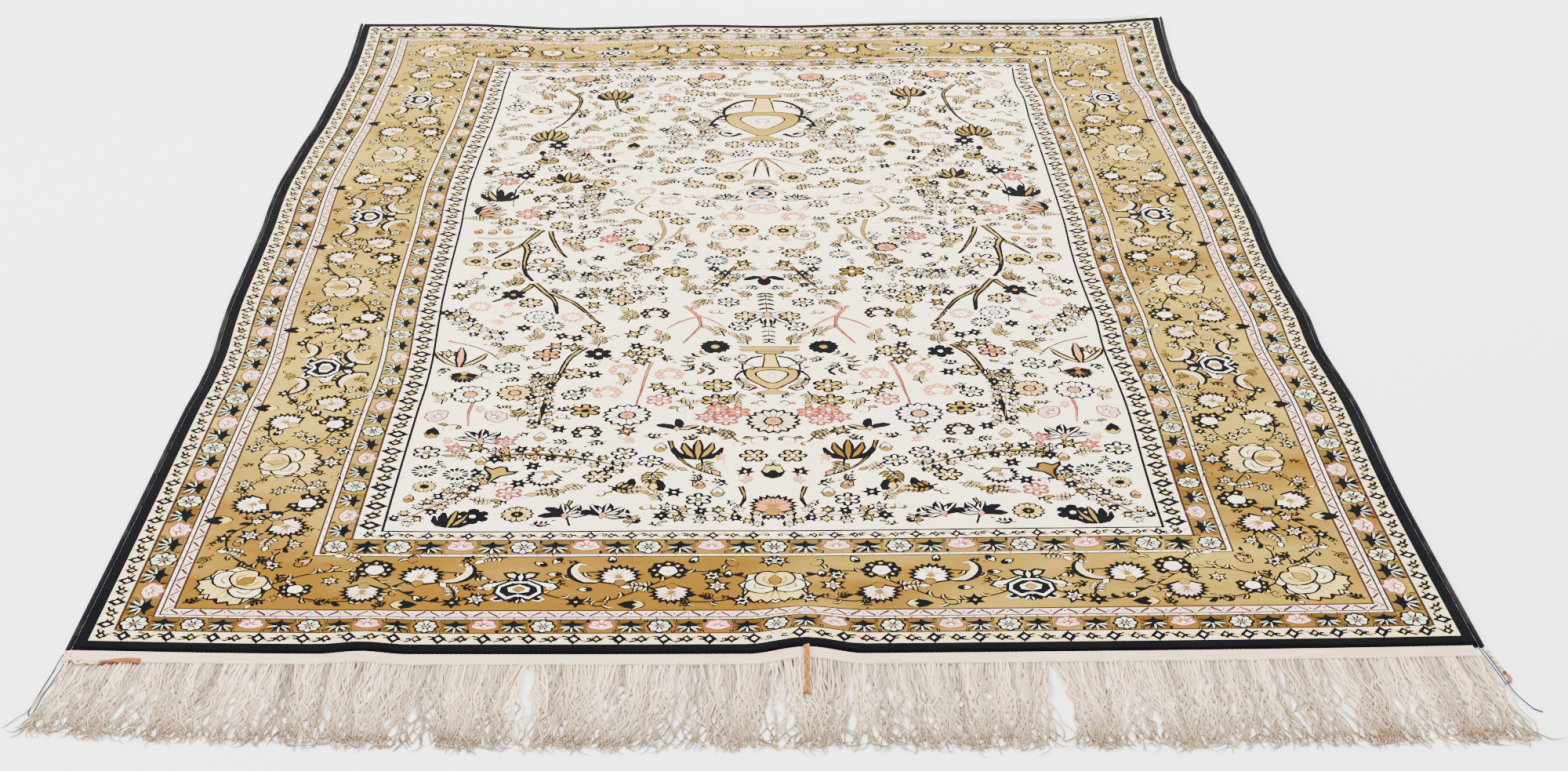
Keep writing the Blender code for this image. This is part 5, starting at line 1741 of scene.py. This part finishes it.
def make_tassel(tassel, rng):
    """A bound head, and loose yarn that spreads from it."""
    tubes = Tubes()
    start, end = Vector(tassel.start), Vector(tassel.end)
    for point in (start, end):
        point.z += lift(point.x, point.y)
    along = end - start
    right = Vector((-along.y, along.x, 0)).normalized()
    count = tassel.strands * 7
    for k in range(count):
        spread = (k + 0.5) / count * 2 - 1
        thick = tassel.width * 0.07
        path = []
        for i in range(9):
            t = i / 8 * rng.uniform(0.97, 1.0)
            pinch = 0.42 if t < TASSEL_HEAD else 0.42 + 0.58 * (t - TASSEL_HEAD)
            spot = start + along * t + right * spread * tassel.width / 2 * pinch
            spot += right * (rng.gauss(0, 0.0006) * t + 0.0035 * math.sin(4.4 * t) * t)
            swell = TASSEL_THICKNESS * 0.5 * (1 - 0.5 * t) * math.sqrt(1 - spread * spread)
            spot.z += 0.0011 + swell * rng.uniform(0.3, 1.0)
            path.append(spot)
        tubes.add(path, [thick * (1 - 0.4 * i / 8) for i in range(9)], 4, 0, rng.random())
    for wrap in range(5):
        centre = start + along * (TASSEL_HEAD * (0.35 + 0.18 * wrap))
        centre.z += 0.0016
        ring = []
        for k in range(11):
            a = math.tau * k / 10
            ring.append(centre + right * math.cos(a) * tassel.width * 0.25 + Vector((0, 0,
                                                                                     math.sin(a) * 0.0014))
                        + along.normalized() * 0.0004 * k / 10)
        tubes.add(ring, [0.0005] * 11, 4, 0, 0.1)
    return tubes.make(tassel.name + "_wool", tassel.colour, tassel.name)


class Wire:
    """A shader socket that can be used in sums."""

    def __init__(self, finish, socket):
        self.finish, self.socket = finish, socket

    def math(self, operation, other, swapped=False):
        pair = (other, self) if swapped else (self, other)
        return self.finish.node("Math", {"operation": operation}, dict(enumerate(pair)))

    def __add__(self, other):
        return self.math("ADD", other)

    def __radd__(self, other):
        return self.math("ADD", other, True)

    def __sub__(self, other):
        return self.math("SUBTRACT", other)

    def __rsub__(self, other):
        return self.math("SUBTRACT", other, True)

    def __mul__(self, other):
        return self.math("MULTIPLY", other)

    def __rmul__(self, other):
        return self.math("MULTIPLY", other, True)

    def clamped(self):
        return self.finish.node("Clamp", {}, {"Value": self})


class Finish:
    """A procedural material on the principled shader."""

    def __init__(self, name, roughness, sheen=0.0, sheen_roughness=0.5, specular=0.3):
        self.material = bpy.data.materials.new(name)
        self.material.use_nodes = True
        self.tree = self.material.node_tree
        self.shader = self.tree.nodes["Principled BSDF"]
        for socket, value in (("Roughness", roughness), ("Sheen Weight", sheen),
                              ("Sheen Roughness", sheen_roughness), ("Specular IOR Level", specular)):
            self.shader.inputs[socket].default_value = value
        self.place = self.node("TexCoord", {}, {}, "Object").socket

    def node(self, kind, settings, values, output=0):
        """A node with its settings made first, then its sockets' values or links."""
        made = self.tree.nodes.new("ShaderNode" + kind)
        for name, value in settings.items():
            setattr(made, name, value)
        for name, value in values.items():
            self.feed(made.inputs[name], value)
        return Wire(self, made.outputs[output])

    def feed(self, socket, value):
        if isinstance(value, Wire):
            value = value.socket
        if isinstance(value, bpy.types.NodeSocket):
            self.tree.links.new(value, socket)
        else:
            socket.default_value = value

    def stretched(self, scale):
        """The object's own coordinates, scaled along each axis."""
        return self.node("Mapping", {}, {"Vector": self.place, "Scale": scale}).socket

    def noise(self, scale, detail=2.0, stretch=(1, 1, 1), rough=0.5):
        return self.node("TexNoise", {}, {"Vector": self.stretched(stretch), "Scale": scale,
                                          "Detail": detail,
                                          "Roughness": rough})

    def wave(self, scale, stretch=(1, 1, 1), distortion=0.0, direction="X"):
        return self.node("TexWave", {"bands_direction": direction},
                         {"Vector": self.stretched(stretch), "Scale": scale, "Distortion": distortion})

    def mix(self, share, low, high, blend="MIX"):
        return self.node("Mix", {"data_type": "RGBA", "blend_type": blend}, {0: share, 6: low, 7: high}, 2)

    def grey(self, value):
        return self.node("CombineColor", {}, {0: value, 1: value, 2: value})

    def attribute(self, name, output="Color"):
        return self.node("Attribute", {"attribute_name": name}, {}, output)

    def part(self, colour, channel):
        return self.node("SeparateColor", {}, {0: colour}, channel)

    def colour(self, wire):
        self.feed(self.shader.inputs["Base Color"], wire)

    def roughness(self, wire):
        self.feed(self.shader.inputs["Roughness"], wire)

    def bump(self, height, distance, strength=1.0):
        made = self.node("Bump", {}, {"Height": height, "Distance": distance, "Strength": strength},
                         "Normal")
        self.feed(self.shader.inputs["Normal"], made)


def rgba(colour):
    return (*colour, 1.0)


def pile_finish(settings):
    """Silky wool pile: uneven dye within a colour, a fine nap, and the gold browned in weft bands and patches, partly
    by uneven dye and partly as painted shade that grows towards the fringed end.
    """
    made = Finish("silky wool pile", 0.8, sheen=0.0, specular=0.03)
    ink = made.attribute("ink")
    gold = made.attribute("ink", "Alpha")
    bands = made.noise(3.4, 3.0, (0.35, 1.9, 1.0), 0.6)
    patches = made.noise(7.0, 2.0)
    along = made.node("SeparateXYZ", {}, {0: made.place}, 1)
    # painted shade: the gold darkens towards the fringed end, standing in for the shade of the pile's lay and waves
    # there
    front = ((along * -1.0 - 0.45) * 1.4).clamped()
    # browning of the gold: abrash bands and patches of uneven dye, plus the painted shade towards the front
    share = ((bands * 1.5 + patches * 0.8 + front * 0.45 - 1.0) * settings.abrash * 2.2).clamped() * gold
    base = made.mix(share, ink, rgba(settings.abrash_tint), "MULTIPLY")
    mottle = made.noise(130.0, 3.0, (1.0, 1.0, 1.0), 0.65)
    cloud = made.noise(16.0, 3.0)
    tone = 0.72 + mottle * 0.36 + cloud * 0.20
    made.colour(made.mix(1.0, base, made.grey(tone), "MULTIPLY"))
    nap = made.noise(620.0, 2.0, (1.0, 0.7, 1.0))
    made.roughness(0.68 + cloud * 0.25)
    made.bump(nap * 0.7 + mottle * 0.6, 0.0011, 0.9)
    return made.material


def back_finish():
    """The knotted back: the bands' colours, duller, in fine rows."""
    made = Finish("knotted back", 0.9, sheen=0.05, specular=0.2)
    rows = made.wave(330.0, (0.0, 1.0, 0.0), 0.0, "Y")
    warps = made.wave(260.0, (1.0, 0.0, 0.0))
    tone = 0.62 + rows * 0.18 + warps * 0.12 + made.noise(45.0, 3.0) * 0.25
    made.colour(made.mix(1.0, made.attribute("ink"), made.grey(tone), "MULTIPLY"))
    made.bump(rows * 0.6 + warps * 0.4, 0.0006, 0.8)
    return made.material


def yarn_finish(name, colour, dark, sheen=0.15, tips=None):
    """Yarn whose strands differ a little in tone, darker towards worn tips where a tip colour is given; in the fringe
    the darker strands are also painted shade between strands.
    """
    made = Finish(name, 0.85, sheen=sheen, specular=0.2)
    strand = made.attribute("strand")
    shade, along = made.part(strand, 0), made.part(strand, 1)
    # share of the yarn's own colour over the dark one; in the fringe, low shares are painted shade between strands
    depth = (shade * 1.1 + made.noise(210.0, 2.0) * 0.2 - 0.04).clamped()
    base = made.mix(depth, rgba(dark), rgba(colour))
    if tips:
        fade = along * along * along
        worn = (fade * 1.0 + (made.noise(26.0, 2.0) - 0.5) * 0.9 * along).clamped()
        base = made.mix(worn, base, rgba(tips))
    made.colour(base)
    made.roughness(0.75 + made.noise(90.0) * 0.2)
    made.bump(made.noise(1600.0, 1.0), 0.0003, 0.6)
    return made.material


def kilim_finish(settings):
    """Plain cotton weave: thin wefts over ribbed warps."""
    made = Finish("flat-woven cotton", 0.9, sheen=0.08, specular=0.2)
    warps = made.wave(190.0, (1.0, 0.0, 0.0), 0.4)
    wefts = made.wave(420.0, (0.0, 1.0, 0.0), 0.6, "Y")
    stain = made.noise(30.0, 4.0, (1.0, 3.0, 1.0))
    base = made.mix((stain * 1.6 - 0.45).clamped(), rgba(settings.cotton), rgba(settings.worn_cotton))
    tone = 0.70 + warps * 0.18 + wefts * 0.16
    made.colour(made.mix(1.0, base, made.grey(tone), "MULTIPLY"))
    made.bump(warps * 0.6 + wefts * 0.4, 0.0006, 0.8)
    return made.material


def overcast_finish(settings):
    """Dark wool wrapped round the side cords, with the odd worn, paler wrap."""
    made = Finish("overcast wool", 0.85, sheen=0.02, specular=0.06)
    wraps = made.noise(300.0, 1.0, (0.2, 1.0, 0.2))
    worn = (made.noise(24.0, 4.0) * 1.5 - 0.72).clamped()
    base = made.mix(wraps, rgba(settings.overcast), rgba([c * 2.6 for c in settings.overcast]))
    made.colour(made.mix(worn * 0.5, base, rgba(settings.worn_overcast)))
    made.bump(wraps, 0.0004, 0.7)
    return made.material


def floor_finish():
    made = Finish("pale floor", 0.62, specular=0.25)
    tone = 0.985 + made.noise(2.0, 2.0) * 0.02
    made.colour(made.mix(1.0, rgba(FLOOR_GREY), made.grey(tone), "MULTIPLY"))
    made.bump(made.noise(180.0, 2.0), 0.0002, 0.15)
    return made.material


def linear(code):
    """A hexadecimal colour as the scene's own linear values."""
    parts = [int(code[i:i + 2], 16) / 255 for i in (0, 2, 4)]
    return [p / 12.92 if p <= 0.04045 else ((p + 0.055) / 1.055) ** 2.4 for p in parts]


def dye(name, code, description):
    return FloatVectorProperty(name=name, description=description, subtype="COLOR", size=3, min=0, max=1,
                               default=linear(code))


class RugDyes(bpy.types.PropertyGroup):
    """The colours of the pile and of the yarns."""

    gold: dye("Gold", "A48934", "Ground of the three gold borders")
    tan: dye("Tan", "7C6632", "Darker gold between the small flowers of the narrow borders")
    ivory: dye("Ivory", "F6E3C4", "Ground of the field and of the pale guards")
    cream: dye("Cream", "E6D0A0", "Outer guard and the roses")
    white: dye("White", "F8EEDA", "White petals")
    mint: dye("Pale green", "D2D8BC", "Rosettes and pale leaves")
    straw: dye("Straw", "CFAE58", "Pale yellow petals")
    blush: dye("Blush", "E8C2AC", "Light pink petals")
    coral: dye("Coral", "BE7850", "Darker pink petals and stems")
    rose: dye("Madder", "743430", "Dark red lines")
    brown: dye("Brown", "2E1A14", "Lines between the bands")
    olive: dye("Olive", "6E5622", "Leaf veins and the roses' outlines")
    navy: dye("Navy", "030307", "Outer band, outlines and dark petals")


class RugSettings(bpy.types.PropertyGroup):
    """Sizes and tones of the rug's parts."""

    strands: IntProperty(name="Fringe strands", description="Strands in the open fringe", default=1150,
                         min=100)
    strand_diameter: FloatProperty(name="Strand", description="Diameter of a fringe strand", default=0.0022,
                                   unit="LENGTH", precision=4)
    overcast_pitch: FloatProperty(name="Overcasting", description="Distance from wrap to wrap along a side",
                                  default=0.0023, unit="LENGTH", precision=4)
    kilim_ribs: IntProperty(name="Warps", description="Ribs across the flat-woven band", default=300,
                            min=20)
    # How much the gold is browned: partly uneven dye, partly painted shade of the pile's lay
    abrash: FloatProperty(name="Abrash", description="How uneven the gold dye is", default=1.0, min=0,
                          max=2,
                          subtype="FACTOR")
    # Tint of that browning, for the uneven dye and the painted shade alike
    abrash_tint: dye("Abrash tint", "AC9068", "What the gold is darkened by where the dye is uneven")
    cotton: dye("Cotton", "FFE2BE", "Flat-woven bands and the fringe")
    worn_cotton: dye("Worn cotton", "D2B894", "Soiled cotton")
    # Darker cotton: in the fringe partly uneven tone and partly painted shade between strands; also the darkest ply of
    # the cream cord
    fringe_dark: dye("Fringe in shade", "4A3620", "Darker strands of the fringe")
    fringe_tips: dye("Fringe tips", "7E6648", "Frayed ends of the fringe")
    overcast: dye("Overcasting", "040409", "Wool of the side cords")
    worn_overcast: dye("Worn overcasting", "6B5A48", "Rubbed places of the side cords")
    mustard: dye("Mustard", "9A6614", "The thick loose plait")
    orange: dye("Orange", "9A4E24", "Tassels")
    dyes: PointerProperty(type=RugDyes, name="Dyes", description="Colours of the design")


def palette_of(settings):
    return {name: tuple(getattr(settings.dyes, name)) for name in RugDyes.__annotations__}


class RUG_OT_stage(bpy.types.Operator):
    """Lay the floor, hang the lights and set up the camera"""

    bl_idname = "rug.stage"
    bl_label = "Floor, lights and camera"

    def execute(self, context):
        bpy.ops.object.select_all(action="DESELECT")
        bpy.ops.mesh.primitive_plane_add(size=FLOOR_SIZE, location=(0, 0, 0))
        floor = bpy.context.object
        floor.name = floor.data.name = "floor"
        floor.data.materials.append(floor_finish())
        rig.stage(floor)
        for name, energy, size, place in LIGHTS:
            lamp = bpy.data.lights.new(name, "AREA")
            lamp.energy, lamp.size = energy, size
            hung = bpy.data.objects.new(name, lamp)
            hung.location = place
            hung.rotation_euler = (-Vector(place)).to_track_quat("-Z", "Y").to_euler()
            context.scene.collection.objects.link(hung)
        world = bpy.data.worlds.new("soft room")
        world.use_nodes = True
        world.node_tree.nodes["Background"].inputs["Color"].default_value = (1.0, 1.0, 1.0, 1.0)
        world.node_tree.nodes["Background"].inputs["Strength"].default_value = ROOM_LIGHT
        context.scene.world = world
        set_camera(context)
        return {"FINISHED"}


def set_camera(context):
    """The photograph's view, with the camera's own roll."""
    seen = bpy.data.cameras.new("camera")
    seen.sensor_width = SENSOR
    seen.lens = FOCAL_PIXELS / PHOTO_WIDTH * SENSOR
    made = bpy.data.objects.new("camera", seen)
    context.scene.collection.objects.link(made)
    context.scene.camera = made
    yaw, pitch, roll = (math.radians(a) for a in (CAMERA_YAW, CAMERA_PITCH, CAMERA_ROLL))
    forward = Vector((math.sin(yaw) * math.cos(pitch), math.cos(yaw) * math.cos(pitch), -math.sin(pitch)))
    right = Vector((math.cos(yaw), -math.sin(yaw), 0))
    up = right.cross(forward)
    right, up = right * math.cos(roll) + up * math.sin(roll), up * math.cos(roll) - right * math.sin(roll)
    made.matrix_world = Matrix.Translation(CAMERA_PLACE) @ Matrix((right, up,
                                                                   -forward)).transposed().to_4x4()


class RUG_OT_cords(bpy.types.Operator):
    """Plait the loose cords and threads, and tie the tassels on them"""

    bl_idname = "rug.cords"
    bl_label = "Loose cords and tassels"

    def execute(self, context):
        settings = context.scene.rug
        rng = random.Random(5)
        finishes = {
            "navy_thread": yarn_finish("navy thread", linear("232739"), linear("11131F")),
            "cream_cord": yarn_finish("cream cord", settings.cotton, settings.fringe_dark),
            "mustard_cord": yarn_finish("mustard cord", settings.mustard,
                                        [c * 0.6 for c in settings.orange]),
            "orange_wool": yarn_finish("orange wool", settings.orange, [c * 0.5 for c in settings.orange],
                                       0.25)}
        tassels = {}
        for tassel in TASSELS:
            tassels[tassel.name] = make_tassel(tassel, rng)
            tassels[tassel.name].data.materials.append(finishes[tassel.colour])
        for cord in CORDS:
            made, points = make_cord(cord, rng)
            made.data.materials.append(finishes[cord.colour])
            carried = [tassels[CARRIES[cord.name]]] if cord.name in CARRIES else []
            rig.cord(made, exit=points[0], length=length_of(points), diameter=cord.diameter, far_end="bare",
                    stiffness="limp", lay="loose", path=points, with_pieces=carried)
        return {"FINISHED"}


class RUG_OT_pile(bpy.types.Operator):
    """Knot the patterned pile and lay it on its knotted foundation"""

    bl_idname = "rug.pile"
    bl_label = "Pile and foundation"

    def execute(self, context):
        settings = context.scene.rug
        palette = palette_of(settings)
        finish = pile_finish(settings)
        shapes = draw_chart().shapes
        strips = []
        for strip in STRIPS:
            rng = random.Random(strip.name)
            points, triangles, inks = knot(shapes, strip.left, strip.right, rng)
            for suffix, mirrored in (("left", False), ("right", True)):
                made = knotted_sheet(f"pile_{strip.name}_{suffix}", points, triangles, inks, palette, PILE,
                                     mirrored, strip)
                made.data.materials.append(finish)
                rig.slot(made, "pile")
                strips.append(made)
        points, triangles, inks = knot(draw_bands().shapes, 0.0, 2 * HALF_WIDTH, random.Random(3),
                                         spacing=BACK_GRID)
        back = knotted_sheet("foundation", points, triangles, inks, palette, FOUNDATION, False)
        thicken(back, FOUNDATION)
        back.data.materials.append(back_finish())
        rides(back, "pile", "pile")
        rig.sheet(back, flat=(WIDTH, LENGTH), held="laid", rests_on=["floor"], with_pieces=strips)
        return {"FINISHED"}


class RUG_OT_selvedges(bpy.types.Operator):
    """Overcast the two sides"""

    bl_idname = "rug.selvedges"
    bl_label = "Selvedges"

    def execute(self, context):
        finish = overcast_finish(context.scene.rug)
        for name, sign in (("selvedge_left", -1), ("selvedge_right", 1)):
            make_selvedge(name, sign, context.scene.rug).data.materials.append(finish)
        return {"FINISHED"}


class RUG_OT_ends(bpy.types.Operator):
    """Weave the flat bands of both ends"""

    bl_idname = "rug.ends"
    bl_label = "Flat-woven ends"

    def execute(self, context):
        finish = kilim_finish(context.scene.rug)
        for made in (make_near_kilim(context.scene.rug), make_far_kilim(context.scene.rug)):
            made.data.materials.append(finish)
        return {"FINISHED"}


class RUG_OT_fringe(bpy.types.Operator):
    """Lay out the fringe strand by strand"""

    bl_idname = "rug.fringe"
    bl_label = "Fringe"

    def execute(self, context):
        settings = context.scene.rug
        finish = yarn_finish("cotton fringe", settings.cotton, settings.fringe_dark, 0.1,
                             settings.fringe_tips)
        for made in make_fringe(settings):
            made.data.materials.append(finish)
        return {"FINISHED"}


class RUG_PT_panel(bpy.types.Panel):
    """Lists the rug's settings and pieces"""

    bl_label = "Rug"
    bl_space_type = "VIEW_3D"
    bl_region_type = "UI"
    bl_category = "Rug"

    def draw(self, context):
        for group in (context.scene.rug, context.scene.rug.dyes):
            for name in type(group).__annotations__:
                if name != "dyes":
                    self.layout.prop(group, name)
        for step in STEPS:
            self.layout.operator(step.bl_idname)


STEPS = (RUG_OT_stage, RUG_OT_cords, RUG_OT_pile, RUG_OT_selvedges, RUG_OT_ends, RUG_OT_fringe)
CLASSES = (RugDyes, RugSettings, *STEPS, RUG_PT_panel)


def register():
    for made in CLASSES:
        bpy.utils.register_class(made)
    bpy.types.Scene.rug = PointerProperty(type=RugSettings)


def unregister():
    del bpy.types.Scene.rug
    for made in reversed(CLASSES):
        bpy.utils.unregister_class(made)


def main():
    register()
    bpy.ops.rug.stage()
    bpy.ops.rug.cords()
    bpy.ops.rug.pile()
    bpy.ops.rug.selvedges()
    bpy.ops.rug.ends()
    bpy.ops.rug.fringe()
    with open("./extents.json", "w") as sizes:
        json.dump({"cad": [list(corner) for corner in CAD_BOX],
                   "visual": [list(corner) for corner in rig.bounds()]}, sizes)


if __name__ == "__main__":
    main()
